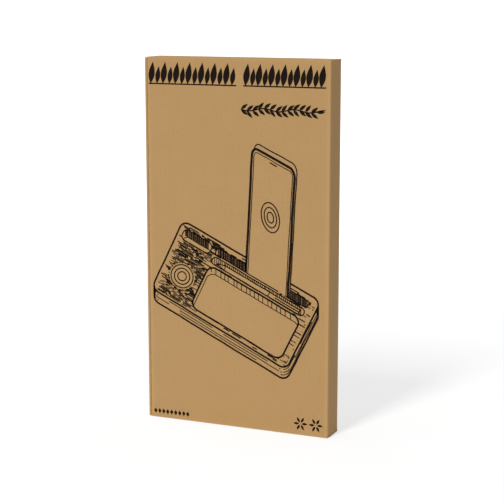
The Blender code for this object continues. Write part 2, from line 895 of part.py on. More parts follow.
clear_scene()
palette = make_materials()
build_carton(palette)
build_organizer(palette)
report_coil_gap()
bpy.context.view_layer.update()
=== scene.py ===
"""Looks for the boxed wireless charger organizer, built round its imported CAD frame."""

import math
import random
from collections import namedtuple

import bmesh
import bpy
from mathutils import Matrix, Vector


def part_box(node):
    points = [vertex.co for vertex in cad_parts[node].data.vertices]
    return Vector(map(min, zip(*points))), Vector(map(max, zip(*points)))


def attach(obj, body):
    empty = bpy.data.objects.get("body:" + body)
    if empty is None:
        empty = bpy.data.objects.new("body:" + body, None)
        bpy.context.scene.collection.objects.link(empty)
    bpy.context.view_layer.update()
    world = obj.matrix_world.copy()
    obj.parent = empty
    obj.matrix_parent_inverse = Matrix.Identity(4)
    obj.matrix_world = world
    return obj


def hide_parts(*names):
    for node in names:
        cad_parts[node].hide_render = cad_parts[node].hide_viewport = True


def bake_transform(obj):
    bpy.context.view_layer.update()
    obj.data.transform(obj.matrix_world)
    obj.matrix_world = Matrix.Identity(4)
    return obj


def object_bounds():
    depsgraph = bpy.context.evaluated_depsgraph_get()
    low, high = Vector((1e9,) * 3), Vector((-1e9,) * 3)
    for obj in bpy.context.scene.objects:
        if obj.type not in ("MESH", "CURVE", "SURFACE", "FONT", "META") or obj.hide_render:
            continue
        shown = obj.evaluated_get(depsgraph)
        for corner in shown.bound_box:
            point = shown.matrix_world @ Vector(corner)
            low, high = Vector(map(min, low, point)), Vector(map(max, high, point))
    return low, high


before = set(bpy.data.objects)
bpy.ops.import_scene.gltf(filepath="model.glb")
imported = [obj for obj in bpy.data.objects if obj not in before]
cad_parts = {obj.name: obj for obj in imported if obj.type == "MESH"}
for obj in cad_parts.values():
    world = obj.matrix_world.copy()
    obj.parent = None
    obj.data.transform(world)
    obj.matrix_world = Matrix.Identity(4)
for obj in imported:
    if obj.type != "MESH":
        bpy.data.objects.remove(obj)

cad_low, cad_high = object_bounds()

# A millimetre, the play for rounding, the least angle that stays a sharp edge, and white
mm = 0.001
rounding = 1e-7
sharp_angle = math.radians(32.0)
white = (1.0, 1.0, 1.0)

# Carton: its outside, and the thickness of its fluted board, called its card
half_width = cad_high.x
half_depth = cad_high.y
carton_height = cad_high.z
card = 0.0015
skin_setback = 0.00002

# Carton: folds, and how far the bends of the lid and of the flap reach
crease_radius = 0.0008
lid_edge_radius = 0.00035
lid_edge_gap = 0.00006
roll_radius = 0.0007
end_fold_radius = 0.0005
wall_end_gap = 0.00005
tuck_wall_setback = 0.0005
inner_corner = 0.00015
fold_steps = 10
crushed_steps = 2
flap_lean = math.radians(6.0)
flap_length = 0.0125
flap_corner = 0.006

# Carton: the board's layers, which are liner, hollow, medium, hollow and liner
board_layers = 5
hollow_layers = (1, 3)
flute_pitch = 0.0032
columns_per_flute = 8
step_slack_share = 0.25
liner_share = 0.16
medium_share = 0.12
medium_clear_share = 0.01
least_void_share = 0.12
flute_pocket = 0.0022
steepest_rise = 0.0003
washboard = 0.000006
edge_rows = (0.0, 0.0005, 0.0016, 0.005)

# Carton: how rubbed its folds and its raw edges are, and how far that reaches
fold_wear_share = 0.75
fold_wear_reach = 0.0011
edge_wear_reach = 0.0012

# Carton: where the blank's pieces end, and the tabs that lock its end walls
seam_from_edge = 0.0035
end_seam_height = 0.0030
crushed_start_share = 0.25
lock_tab_width = 0.018
lock_tab_length = 0.0016
lock_tab_centres = (-0.035, 0.035)
lock_slot_low = 0.0033
lock_slot_high = 0.0054
tab_slot_gap = 0.0003

# Print on the lid: places are distances right and down from the front's upper left corner
ink_thickness = 0.00004
bold_line = 0.0017
main_line = 0.00125
thin_line = 0.00085
fine_line = 0.0006
least_bend_share = 0.5
clip_step = 0.0004
hand_step = 0.009
hand_sway = 0.00016
print_seed = 11
curve_steps = 8
ring_steps = 32
leaf_steps = 8
leaf_foot_share = 1.15
leaf_taper_share = 0.45

# Print: a frieze over the whole front, two stems with upright leaves, tall and short in turn
frieze_groups = ((0.0026, 0.0670), (0.0720, 0.1297))
frieze_stem_height = 0.0178
frieze_stem_width = 0.0009
frieze_leaf_pitch = 0.0045
frieze_leaf_sizes = ((0.0148, 0.0049), (0.0118, 0.0039))
frieze_leaf_lean = math.radians(8.0)

# Print: a sprig below the frieze, and small ornaments near the lower corners
sprig_start = 0.0703
sprig_end = 0.1292
sprig_height = 0.0331
sprig_sway = 0.0009
sprig_wave = 0.0215
sprig_leaf_pitch = 0.0041
sprig_leaf_length = 0.0062
sprig_leaf_width = 0.0023
sprig_leaf_angle = math.radians(36.0)
sprig_wide_angle = math.radians(48.0)
sprig_angle_period = 4
sprig_foot_rise = 0.0001
lozenge_row_start = 0.0050
lozenge_row_height = 0.2453
lozenge_count = 9
lozenge_pitch = 0.0031
lozenge_half_width = 0.0013
lozenge_half_height = 0.0019
rosette_places = ((0.1135, 0.2419), (0.1245, 0.2419))
rosette_leaves = 6
rosette_leaf_length = 0.0042
rosette_leaf_width = 0.0018

# Print: the organizer's drawing, seen from its front and right end
drawing_origin = (0.003, 0.166)
drawing_length_share = (0.42, 0.20)
drawing_width_share = (0.20, -0.40)
drawing_height_share = (0.0, -0.55)
phone_start = 0.120
phone_width = 0.072
phone_reach = 0.138
phone_thickness = 0.008
phone_corner = 0.009
phone_border = 0.0035
phone_lean = math.radians(10.0)
phone_ring_height = 0.074
phone_ring_radii = (0.0055, 0.0105, 0.0155)
speaker_length = 0.012
speaker_from_top = 0.0065
pad_centre = (0.035, 0.043)
pad_ring_radii = (0.007, 0.0125, 0.018)
pad_clear_radius = 0.0205
pad_mark_line = 0.0006
pad_mark_rise = 0.00002
pad_mark_steps = 96
pen_margin = 0.008
pen_radius = 0.0036
pen_tip_length = 0.014
pen_cap_length = 0.052
pen_clip_share = 0.8
grain_pitch = 0.0019
grain_margin = 0.0035
grain_dash_shares = (0.35, 2.0)
grain_gap_shares = (0.1, 0.4)
grain_sway_share = 0.2
open_grain_share = 0.3
bold_grain_share = 0.5
side_grain_shares = (0.28, 0.52, 0.78)
side_grain_kept_share = 0.72
wall_line_pitches = {"recess": 0.0075, "trough": 0.0033, "slot": 0.0015, "compartment": 0.0015}
wall_line_shares = (0.3, 0.7)

# Organizer: what is milled into its top
front_border = 0.008
back_border = 0.0095
end_border = 0.014
divider_wall = 0.008
recess_floor = 0.006
recess_corner_radius = 0.012
recess_floor_radius = 0.003
trough_width = 0.012
trough_wall = 0.004
trough_floor = 0.005
trough_corner_radius = 0.0058
trough_floor_radius = 0.005
slot_width = 0.011
slot_wall = 0.0035
slot_floor = 0.003
slot_corner_radius = 0.003
slot_floor_radius = 0.0006
compartment_width = 0.017
compartment_length = 0.050
compartment_floor = 0.005
compartment_corner_radius = 0.007
compartment_floor_radius = 0.003
compartment_end_border = 0.008
organizer_corner_radius = 0.012
organizer_edge_radius = 0.0015
pocket_rim_radius = 0.0006

# Organizer: what is cut into it from below and from its end, for the parts that sit in it
seat_gap = 0.0003
cut_overrun = 0.001
cavity_side = 0.046
cavity_corner_radius = 0.004
charging_skin = 0.003
cover_thickness = 0.002
cover_corner_radius = 0.005
port_wall = 0.012
port_corner_radius = 0.0023
board_tongue_width = 0.0114
screw_shank_radius = 0.0009
fillet_steps = 6
hole_steps = 24
fine_steps = 12

# Materials: how deep their relief is, and bamboo's strips and the nodes along them
paper_relief = 0.00006
ink_relief = 0.00004
fibre_relief = 0.00005
fine_fibre_relief = 0.00003
burnt_relief = 0.00004
plastic_relief = 0.00003
rubber_relief = 0.00004
ferrite_relief = 0.00003
ceramic_relief = 0.00001
metal_relief = 0.00001
mask_relief = 0.00003
clear_relief = 0.00001
strip_width = 0.017
strip_seeds = (7.31, 3.7, 1.9)
node_spacing = 0.171
node_shift = 0.5
node_wobble_share = 0.012

# Materials: colours
kraft_colour = (0.483, 0.286, 0.1135)
kraft_inside_colour = (0.43, 0.27, 0.125)
ink_colour = (0.004, 0.0015, 0.0006)
ink_patch_colour = (0.012, 0.006, 0.003)
ink_pinhole_colour = (0.13, 0.07, 0.03)
dark_strip_colour = (0.55, 0.33, 0.13)
pale_strip_colour = (0.72, 0.48, 0.22)
drift_colour = (0.50, 0.29, 0.11)
fibre_colour = (0.40, 0.21, 0.075)
pale_fibre_colour = (0.80, 0.58, 0.31)
node_halo_colour = (0.74, 0.52, 0.27)
node_colour = (0.30, 0.15, 0.055)
glue_colour = (0.33, 0.17, 0.06)
burnt_colour = (0.060, 0.025, 0.009)
pale_burnt_colour = (0.17, 0.080, 0.030)
black_colour = (0.018, 0.018, 0.020)
rubber_colour = (0.028, 0.028, 0.030)
ferrite_colour = (0.055, 0.055, 0.062)
ceramic_colour = (0.42, 0.29, 0.17)
steel_colour = (0.56, 0.55, 0.53)
copper_colour = (0.70, 0.28, 0.11)
mask_colour = (0.010, 0.085, 0.035)
pale_mask_colour = (0.016, 0.125, 0.05)
track_colour = (0.035, 0.23, 0.085)
bare_pad_colour = (0.62, 0.50, 0.28)
clear_colour = (0.80, 0.86, 0.90)
haze_colour = (0.93, 0.95, 0.96)

# Camera
camera_place = (0.3795, -0.863, 0.2908)
camera_pitch = math.radians(-10.27)
camera_turn = math.radians(23.31)
camera_lens = 101.46
sensor_width = 36.0
clip_near = 0.01
clip_far = 50.0

# Floor and light; the floor bounces more light near the object, a painted pool of light
floor_size = 40.0
floor_roughness = 0.9
floor_seen_share = 0.36
painted_pool_bounce_share = 0.95
bounce_outside_painted_pool = 0.75
painted_light_pool_inner = 0.25
painted_light_pool_outer = 1.0
floor_lift = 0.668
lift_near = 0.38
lift_far = 0.95
world_strength = 0.32
world_colour = (0.94, 0.975, 1.0)
key_place = (-1.70, -8.65, 11.00)
key_size = (2.0, 5.4)
key_power = 1270.0
key_colour = (1.0, 0.99, 0.97)
overhead_place = (-1.29, 0.10, 4.95)
overhead_size = (2.7, 2.7)
overhead_power = 42.0


# Materials

def shade(colour, share):
    """A colour made darker or lighter."""
    return tuple(channel * share for channel in colour)


class Paint:
    """A material, the colour that it has so far, and short ways to add nodes to it.

    Its place is in millimetres on the object, or on the flat blank. There it runs across the flutes,
    along them and into the board.
    """

    def __init__(self, name, roughness, colour, metallic=0.0, on_blank=False):
        self.material = bpy.data.materials.new(name)
        self.material.use_nodes = True
        self.tree = self.material.node_tree
        self.shader = self.tree.nodes["Principled BSDF"].inputs
        self.shader["Roughness"].default_value = roughness
        self.shader["Metallic"].default_value = metallic
        self.colour = colour
        if on_blank:
            metres = self.node("Attribute", {}, attribute_name="sheet_place")["Vector"]
        else:
            metres = self.node("TexCoord", {})["Object"]
        self.place = self.scaled(metres, (1 / mm, 1 / mm, 1 / mm))

    def feed(self, socket, value):
        """Links a socket or sets its value. A colour is given without its opacity."""
        if isinstance(value, bpy.types.NodeSocket):
            self.tree.links.new(value, socket)
        elif socket.type == "RGBA":
            socket.default_value = (*value, 1.0)
        else:
            socket.default_value = value

    def node(self, kind, inputs, **settings):
        """Adds a node, feeds its inputs and gives its outputs."""
        made = self.tree.nodes.new("ShaderNode" + kind)
        for name, value in settings.items():
            setattr(made, name, value)
        for key, value in inputs.items():
            self.feed(made.inputs[key], value)
        return made.outputs

    def scaled(self, vector, scale):
        return self.node("VectorMath", {0: vector, 1: scale}, operation="MULTIPLY")[0]

    def part(self, axis):
        return self.node("SeparateXYZ", {0: self.place})[axis]

    def math(self, operation, a, b=0.0, c=0.0):
        return self.node("Math", {0: a, 1: b, 2: c}, operation=operation)[0]

    def from_middle(self, value):
        """How far a value is from the middle between two whole numbers."""
        return self.math("ABSOLUTE", self.math("SUBTRACT", self.math("FRACT", value), 0.5))

    def noise(self, stretch, detail=3.0, roughness=0.5, distortion=0.0, place=None):
        """Noise over the place, stretched by one number or by one for each axis."""
        if place is None:
            place = self.place
        if isinstance(stretch, tuple):
            place, stretch = self.scaled(place, stretch), 1.0
        return self.node("TexNoise", {
            "Vector": place, "Scale": stretch, "Detail": detail,
            "Roughness": roughness, "Distortion": distortion,
        })[0]

    def cells(self, scale, feature):
        return self.node("TexVoronoi", {"Vector": self.place, "Scale": scale}, feature=feature)["Distance"]

    def ramp(self, value, low, high, to_low=0.0, to_high=1.0):
        return self.node("MapRange", {
            "Value": value, "From Min": low, "From Max": high, "To Min": to_low, "To Max": to_high,
        })[0]

    def mix(self, share, first, second):
        return self.node("Mix", {0: share, 6: first, 7: second}, data_type="RGBA")[2]

    def lay(self, colour, value, low=0.0, high=1.0, at_high=1.0, at_low=0.0):
        """Lays a colour over the one so far, by shares at a low and at a high value."""
        self.colour = self.mix(self.ramp(value, low, high, at_low, at_high), self.colour, colour)

    def bump(self, height, distance, strength, under=None):
        inputs = {"Height": height, "Distance": distance, "Strength": strength}
        if under is not None:
            inputs["Normal"] = under
        return self.node("Bump", inputs)[0]

    def finish(self, value, smooth, rough, normal, low=0.3, high=0.7):
        """Sets the colour, the relief, and a roughness that follows a value."""
        self.feed(self.shader["Base Color"], self.colour)
        self.feed(self.shader["Roughness"], self.ramp(value, low, high, smooth, rough))
        self.feed(self.shader["Normal"], normal)
        return self.material


def kraft_paint(name, base, on_blank):
    """Unbleached liner: clouds, cross-lying fibres, dark and pale flecks, and faint darker stripes at the
    flute pitch, which are painted shade of the washboard ripple.
    """
    paint = Paint(name, 0.88, shade(base, 0.93), on_blank=on_blank)
    formation = paint.noise(0.55, 5.0, 0.6)
    fibres = paint.noise((0.5, 4.5, 4.5), 4.0, 0.62, 0.6)
    paint.lay(shade(base, 1.06), paint.noise(0.045, 4.0, 0.55))
    paint.lay(shade(base, 0.88), formation, 0.3, 0.7, 0.42)
    paint.lay(shade(base, 1.16), fibres, 0.42, 0.78, 0.4)
    paint.lay(shade(base, 0.5), paint.noise((0.81, 4.95, 4.95), 2.0, 0.5, 1.5), 0.66, 0.74, 0.45)
    paint.lay(shade(base, 1.38), paint.noise((7.8, 1.69, 1.69), 2.0, 0.5, 1.2), 0.68, 0.78, 0.4)
    height = paint.math("MULTIPLY_ADD", fibres, 0.7, paint.math("MULTIPLY", formation, 0.6))
    if on_blank:
        # Painted shade: faint darker stripes at the flute pitch, for the shading of the liner's washboard
        # ripple.
        wave = paint.math("MULTIPLY", paint.part("X"), 2 * math.pi * mm / flute_pitch)
        paint.lay(shade(base, 0.6), paint.math("COSINE", wave), -1.0, 1.0, 0.035)
        wear = paint.node("Attribute", {}, attribute_name="wear")["Fac"]
        rubbed = paint.math("MULTIPLY", wear, paint.ramp(formation, 0.25, 0.65, 0.25, 1.0))
        paint.lay(shade(base, 1.24), rubbed, at_high=0.55)
    return paint.finish(fibres, 0.8, 0.95, paint.bump(height, paper_relief, 0.6), 0.2, 0.8)


def ink_paint():
    """Near-black ink with pinholes where the rough liner shows through."""
    paint = Paint("printing_ink", 0.6, ink_colour)
    paint.shader["Specular IOR Level"].default_value = 0.1
    patchy = paint.noise(0.9, 4.0, 0.6)
    pinholes = paint.noise(4.5, 2.0)
    paint.lay(ink_patch_colour, patchy)
    paint.lay(ink_pinhole_colour, pinholes, 0.66, 0.72, 0.5)
    return paint.finish(patchy, 0.5, 0.7, paint.bump(pinholes, ink_relief, 0.5))


def bamboo_paint():
    """Glued strips of bamboo: tone by strip, long fibres, and darker nodes that cross each strip."""
    paint = Paint("bamboo_strips", 0.45, dark_strip_colour)
    strips = paint.math("DIVIDE", paint.part("X"), strip_width / mm)
    seed = paint.math("MULTIPLY", paint.math("FLOOR", strips), strip_seeds[0])
    by_strip = paint.node("CombineXYZ", {0: seed, 1: strip_seeds[1], 2: strip_seeds[2]})[0]
    tone = paint.noise(1.0, 0.0, place=by_strip)
    fibres = paint.noise((3.2, 3.2, 0.035), 6.0, 0.7, 0.2)
    fine = paint.noise((9.0, 9.0, 0.12), 4.0, 0.65)
    paint.lay(pale_strip_colour, tone, 0.3, 0.7)
    paint.lay(drift_colour, paint.noise((0.06, 0.06, 0.012)), 0.35, 0.7, 0.35)
    paint.lay(fibre_colour, fibres, 0.40, 0.66, 0.65)
    paint.lay(pale_fibre_colour, fine, 0.45, 0.75, 0.4)
    along = paint.math("MULTIPLY_ADD", tone, node_shift / mm, paint.part("Z"))
    run = paint.math("DIVIDE", along, node_spacing / mm)
    gap = paint.from_middle(paint.math("MULTIPLY_ADD", paint.noise(0.16, 2.0), node_wobble_share, run))
    paint.lay(node_halo_colour, gap, 0.004, 0.035, 0.0, 0.4)
    paint.lay(node_colour, gap, 0.0015, 0.006, 0.0, 0.42)
    paint.lay(glue_colour, paint.from_middle(strips), 0.488, 0.499, 0.5)
    normal = paint.bump(fine, fine_fibre_relief, 0.4, paint.bump(fibres, fibre_relief, 0.5))
    return paint.finish(fibres, 0.36, 0.55, normal)


def burnt_paint():
    """Laser-burnt bamboo: dark brown, and paler where the fibres are hard."""
    paint = Paint("burnt_bamboo", 0.7, burnt_colour)
    fibres = paint.noise((3.2, 3.2, 0.12), 4.0, 0.6)
    paint.lay(pale_burnt_colour, fibres, 0.35, 0.7)
    return paint.finish(fibres, 0.6, 0.8, paint.bump(fibres, burnt_relief, 0.5))


def moulded_paint(name, base, smooth, rough, grain, relief):
    """Moulded or cast surface with a fine even grain."""
    paint = Paint(name, smooth, shade(base, 0.8))
    fine = paint.noise(grain, 3.0, 0.6)
    paint.lay(shade(base, 1.25), paint.noise(0.25))
    paint.lay(shade(base, 1.7), fine, 0.5, 0.8, 0.35)
    return paint.finish(fine, smooth, rough, paint.bump(fine, relief, 0.5))


def metal_paint(name, base, smooth, rough, stretch):
    """Drawn or plated metal with fine marks along its working direction."""
    paint = Paint(name, smooth, shade(base, 0.86), metallic=1.0)
    marks = paint.noise(stretch, 4.0, 0.6)
    paint.lay(shade(base, 1.1), paint.noise(0.5, 2.0))
    paint.lay(shade(base, 0.7), marks, 0.4, 0.75, 0.4)
    return paint.finish(marks, smooth, rough, paint.bump(marks, metal_relief, 0.4))


def circuit_paint():
    """Green solder mask over copper tracks, with bare pads between them."""
    paint = Paint("solder_mask", 0.35, mask_colour)
    track = paint.ramp(paint.cells(0.62, "DISTANCE_TO_EDGE"), 0.05, 0.09, 1.0, 0.0)
    paint.lay(pale_mask_colour, paint.noise(0.3, 2.0))
    paint.lay(track_colour, track, at_high=0.7)
    paint.lay(bare_pad_colour, paint.cells(0.55, "F1"), 0.10, 0.13, 0.0, 1.0)
    return paint.finish(track, 0.3, 0.42, paint.bump(track, mask_relief, 0.6), 0.0, 1.0)


def clear_paint():
    """Clear plastic with a slight haze."""
    paint = Paint("clear_plastic_detail", 0.08, clear_colour)
    paint.shader["Transmission Weight"].default_value = 0.85
    paint.shader["IOR"].default_value = 1.49
    haze = paint.noise(1.4)
    paint.lay(haze_colour, haze)
    return paint.finish(haze, 0.05, 0.16, paint.bump(haze, clear_relief, 0.3))


kraft = kraft_paint("kraft_liner", kraft_colour, on_blank=True)
kraft_inside = kraft_paint("kraft_inside_liner", kraft_inside_colour, on_blank=False)
ink = ink_paint()
bamboo = bamboo_paint()
burnt = burnt_paint()
black = moulded_paint("black_plastic_spark", black_colour, 0.42, 0.58, 6.0, plastic_relief)
rubber = moulded_paint("rubber_matte", rubber_colour, 0.75, 0.9, 3.0, rubber_relief)
ferrite = moulded_paint("ferrite_sintered", ferrite_colour, 0.5, 0.7, 9.0, ferrite_relief)
ceramic = moulded_paint("ceramic_body", ceramic_colour, 0.35, 0.5, 8.0, ceramic_relief)
steel = metal_paint("nickel_plated_steel", steel_colour, 0.22, 0.4, (0.4, 6.0, 6.0))
copper = metal_paint("enamelled_copper", copper_colour, 0.22, 0.38, (1.5, 1.5, 1.5))
circuit = circuit_paint()
clear = clear_paint()


# Boards

Column = namedtuple("Column", "outer inner run crushed low high")


def turned(direction, angle):
    cosine, sine = math.cos(angle), math.sin(angle)
    return (direction[0] * cosine - direction[1] * sine, direction[0] * sine + direction[1] * cosine)


def ahead(point, direction, length):
    return (point[0] + direction[0] * length, point[1] + direction[1] * length)


class Walk:
    """Walks the outside of a folded board's section and keeps a column of both skins at each step.

    The inside lies to one side of the walk, and every fold turns to that side.
    """

    def __init__(self, start, heading, side, run=0.0):
        self.point = start
        self.heading = heading
        self.side = side
        self.run = run
        self.columns = []

    def inward(self):
        return turned(self.heading, self.side * math.pi / 2)

    def keep(self, outer, inner, crushed, low, high):
        self.columns.append(Column(outer, inner, self.run, crushed, low, high))

    def straight(self, length, low, high, crushed=False):
        """Goes straight on. The limits along the sweep are numbers, or functions of the way gone."""
        steps = max(1, math.ceil(length * columns_per_flute / flute_pitch - step_slack_share))
        if crushed:
            steps = min(steps, crushed_steps)
        begin = 0 if not self.columns else 1
        start, start_run = self.point, self.run
        for step in range(begin, steps + 1):
            gone = length * step / steps
            outer = ahead(start, self.heading, gone)
            self.run = start_run + gone
            limits = [limit(gone) if callable(limit) else limit for limit in (low, high)]
            self.keep(outer, ahead(outer, self.inward(), card), crushed, *limits)
        self.point = ahead(start, self.heading, length)
        self.run = start_run + length

    def fold(self, radius, low, high, angle=math.pi / 2):
        """Folds from a sharp-corner point of the outside that lies reach ahead."""
        reach = self.reach(angle)
        corner = ahead(self.point, self.heading, reach)
        tangent = radius * math.tan(angle / 2)
        after = turned(self.heading, self.side * angle)
        lead = reach - tangent
        length = 2 * lead + radius * angle
        centre = ahead(ahead(corner, self.heading, -tangent), self.inward(), radius)
        inner_first = ahead(self.point, self.inward(), card)
        inner_tip = ahead(corner, self.heading, -card * math.tan(angle / 2))
        inner_tip = ahead(inner_tip, self.inward(), card)
        inner_last = ahead(ahead(corner, after, reach), turned(after, self.side * math.pi / 2), card)
        start_run = self.run
        for step in range(1, fold_steps + 1):
            gone = length * step / fold_steps
            if gone < lead:
                outer = ahead(self.point, self.heading, gone)
            elif gone < length - lead:
                turn = (gone - lead) / radius
                spoke = turned(self.inward(), self.side * turn)
                outer = ahead(centre, spoke, -radius)
            else:
                outer = ahead(corner, after, reach - (length - gone))
            share = step / fold_steps
            inner = tuple(
                (1 - share) ** 2 * a + 2 * share * (1 - share) * b + share ** 2 * c
                for a, b, c in zip(inner_first, inner_tip, inner_last)
            )
            self.run = start_run + gone
            self.keep(outer, inner, True, low, high)
        self.point = ahead(corner, after, reach)
        self.heading = after

    def reach(self, angle=math.pi / 2):
        """How far before and after its sharp corner a fold begins and ends."""
        return card * math.tan(angle / 2) + inner_corner


def row_places(column, rows):
    """Where a column's rows lie along the sweep. Each is tied to its low end, its high end or the frame."""
    places = {"low": lambda d: column.low + d, "high": lambda d: column.high - d, "at": lambda d: d}
    return [places[anchor](distance) for anchor, distance in rows]


class Board:
    """A closed mesh of a folded board: two skins, and raw edges that show the flutes' ends.

    A cell lies between two columns and two rows. A corner is a column, a row, a bound of the layers and
    a push along the sweep.
    """

    def __init__(self, columns, rows, place, missing, open_edges):
        self.columns = columns
        self.rows = rows
        self.place = place
        self.missing = missing
        self.open_edges = open_edges
        self.mesh = bmesh.new()
        self.sheet_place = self.mesh.verts.layers.float_vector.new("sheet_place")
        self.wear = self.mesh.verts.layers.float.new("wear")
        self.known = {}
        self.levels = [row_places(column, rows) for column in columns]
        self.fold_wear = fold_wear_of(columns)
        self.build()

    def there(self, i, j):
        inside = 0 <= i < len(self.columns) - 1 and 0 <= j < len(self.rows) - 1
        return inside and not self.missing(i, j)

    def wave(self, i):
        """Where the medium runs between the liners, as a share of the space."""
        column = self.columns[i]
        if column.crushed or i in (0, len(self.columns) - 1):
            return 0.5
        swing = 0.5 - liner_share - medium_share / 2 - medium_clear_share
        return 0.5 + swing * math.cos(2 * math.pi * column.run / flute_pitch)

    def depth_shares(self, i):
        middle = self.wave(i)
        return (0.0, liner_share, middle - medium_share / 2, middle + medium_share / 2, 1 - liner_share, 1.0)

    def vertex(self, i, j, layer, push=0.0):
        key = (i, j, layer, push)
        if key in self.known:
            return self.known[key]
        column = self.columns[i]
        share = self.depth_shares(i)[layer]
        ripple = 0.0
        if not column.crushed:
            ripple = washboard * (1 + math.cos(2 * math.pi * column.run / flute_pitch))
        thick = math.dist(column.outer, column.inner)
        near = (skin_setback + ripple) / thick
        depth = near + share * (1 - 2 * near)
        a = column.outer[0] + (column.inner[0] - column.outer[0]) * depth
        b = column.outer[1] + (column.inner[1] - column.outer[1]) * depth
        along = self.levels[i][j] + push
        vert = self.mesh.verts.new(self.place(a, b, along))
        vert[self.sheet_place] = Vector((column.run, along, share * card))
        end_distance = max(0.0, min(along - column.low, column.high - along))
        vert[self.wear] = min(1.0, max(self.fold_wear[i], math.exp(-end_distance / edge_wear_reach)))
        self.known[key] = vert
        return vert

    def face(self, *corners):
        self.mesh.faces.new([self.vertex(*corner) for corner in corners])

    def layered(self, i, j, cell):
        """Whether the raw edge of a cell, at a row, shows the board's layers."""
        if not 0 < i < len(self.columns) - 2 or not self.open_edges(i, cell):
            return False
        return abs(self.levels[i + 1][j] - self.levels[i][j]) <= steepest_rise

    def cap(self, i, j, cell, into):
        """The raw edge between two columns, at a row. The flutes' ends are pockets into the board."""
        if not self.layered(i, j, cell):
            self.plain_cap(i, j, cell)
            return
        for layer in range(board_layers):
            if self.hollow(i, j, cell, layer):
                self.pocket(i, j, cell, layer, into * flute_pocket)
            else:
                self.face((i, j, layer), (i + 1, j, layer), (i + 1, j, layer + 1), (i, j, layer + 1))

    def plain_cap(self, i, j, cell):
        """A raw edge without layers, joined to the layers of the edges beside it."""
        sides = []
        for k, beside in ((i, i - 1), (i + 1, i + 1)):
            shown = range(board_layers + 1) if self.layered(beside, j, cell) else (0, board_layers)
            sides.append([(k, j, layer) for layer in shown])
        few, many = sorted(sides, key=len)
        if len(few) < len(many):
            for first, second in zip(many, many[1:]):
                self.face(few[0], first, second)
            self.face(few[0], many[-1], few[1])
            return
        for k in range(len(few) - 1):
            self.face(few[k], many[k], many[k + 1], few[k + 1])

    def hollow(self, i, j, cell, layer):
        """Whether the flutes leave a hollow wide enough to show in a raw edge."""
        if layer not in hollow_layers or not self.layered(i, j, cell):
            return False
        if self.columns[i].crushed or self.columns[i + 1].crushed:
            return False
        gaps = [self.depth_shares(k)[layer + 1] - self.depth_shares(k)[layer] for k in (i, i + 1)]
        return min(gaps) > least_void_share

    def pocket(self, i, j, cell, layer, push):
        near, deep = [
            [[(k, j, bound, way) for bound in (layer, layer + 1)] for k in (i, i + 1)] for way in (0.0, push)
        ]
        self.face(near[0][0], near[1][0], deep[1][0], deep[0][0])
        self.face(near[0][1], near[1][1], deep[1][1], deep[0][1])
        self.face(deep[0][0], deep[1][0], deep[1][1], deep[0][1])
        for side, beside in enumerate((i - 1, i + 1)):
            if not self.hollow(beside, j, cell, layer):
                self.face(near[side][0], near[side][1], deep[side][1], deep[side][0])

    def side(self, i, j):
        """The raw edge along the flutes, from one row to the next, at a column."""
        self.face((i, j, 0), (i, j + 1, 0), (i, j + 1, board_layers), (i, j, board_layers))

    def build(self):
        for i in range(len(self.columns) - 1):
            for j in range(len(self.rows) - 1):
                if not self.there(i, j):
                    continue
                for layer in (0, board_layers):
                    self.face((i, j, layer), (i + 1, j, layer), (i + 1, j + 1, layer), (i, j + 1, layer))
                if not self.there(i, j - 1):
                    self.cap(i, j, j, 1)
                if not self.there(i, j + 1):
                    self.cap(i, j + 1, j, -1)
                if not self.there(i - 1, j):
                    self.side(i, j)
                if not self.there(i + 1, j):
                    self.side(i + 1, j)


def fold_wear_of(columns):
    """How rubbed each column is: most on the folds, falling off within a few millimetres."""
    folded = [column.run for column in columns if column.crushed]
    ways = [min(abs(column.run - run) for run in folded) for column in columns]
    return [fold_wear_share * math.exp(-way / fold_wear_reach) for way in ways]


def add_object(name, mesh, material):
    bmesh.ops.recalc_face_normals(mesh, faces=mesh.faces)
    data = bpy.data.meshes.new(name)
    mesh.to_mesh(data)
    mesh.free()
    data.materials.append(material)
    data.shade_smooth()
    data.set_sharp_from_angle(angle=sharp_angle)
    piece = bpy.data.objects.new(name, data)
    bpy.context.scene.collection.objects.link(piece)
    return piece


def upright(a, b, along):
    return Vector((a, b, along))


def add_board(name, columns, rows, place=upright, missing=lambda i, j: False, open_edges=lambda i, j: True):
    board = Board(columns, rows, place, missing, open_edges)
    return add_object(name, board.mesh, kraft)


# Sizes that the folded pieces take from the CAD nodes
lid_low, lid_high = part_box("lid_panel")
tuck_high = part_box("tuck_side_wall")[1]
flap_low, flap_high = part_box("lid_tuck_flap")
end_low, end_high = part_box("bottom_end_wall")

free_rows = [("low", d) for d in edge_rows] + [("high", d) for d in reversed(edge_rows)]


def rows_between(levels):
    """Rows at both ends of every column, and at levels of the frame between them."""
    return [("low", 0.0)] + [("at", level) for level in levels] + [("high", 0.0)]


def build_lid_sheet():
    """Back fold, hinge wall, hinge crease and lid in one sheet, folded round at the crease."""
    walk = Walk((half_width - seam_from_edge, half_depth), (1.0, 0.0), -1)
    reach = walk.reach()
    walk.straight(seam_from_edge - reach, end_seam_height, carton_height - end_seam_height, crushed=True)
    wall_low = card + wall_end_gap
    wall_high = carton_height - wall_low
    walk.fold(end_fold_radius, wall_low, wall_high)
    walk.straight(2 * half_depth - 2 * reach, wall_low, wall_high)
    walk.fold(crease_radius, lid_low.z, lid_high.z)
    lid_run = half_width - reach - (lid_low.x + seam_from_edge)
    walk.straight(lid_run, lid_low.z, lid_high.z)
    sheet = add_board("carton_lid_sheet", walk.columns, free_rows)
    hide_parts("lid_panel", "hinge_side_wall")
    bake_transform(sheet)
    return walk.run


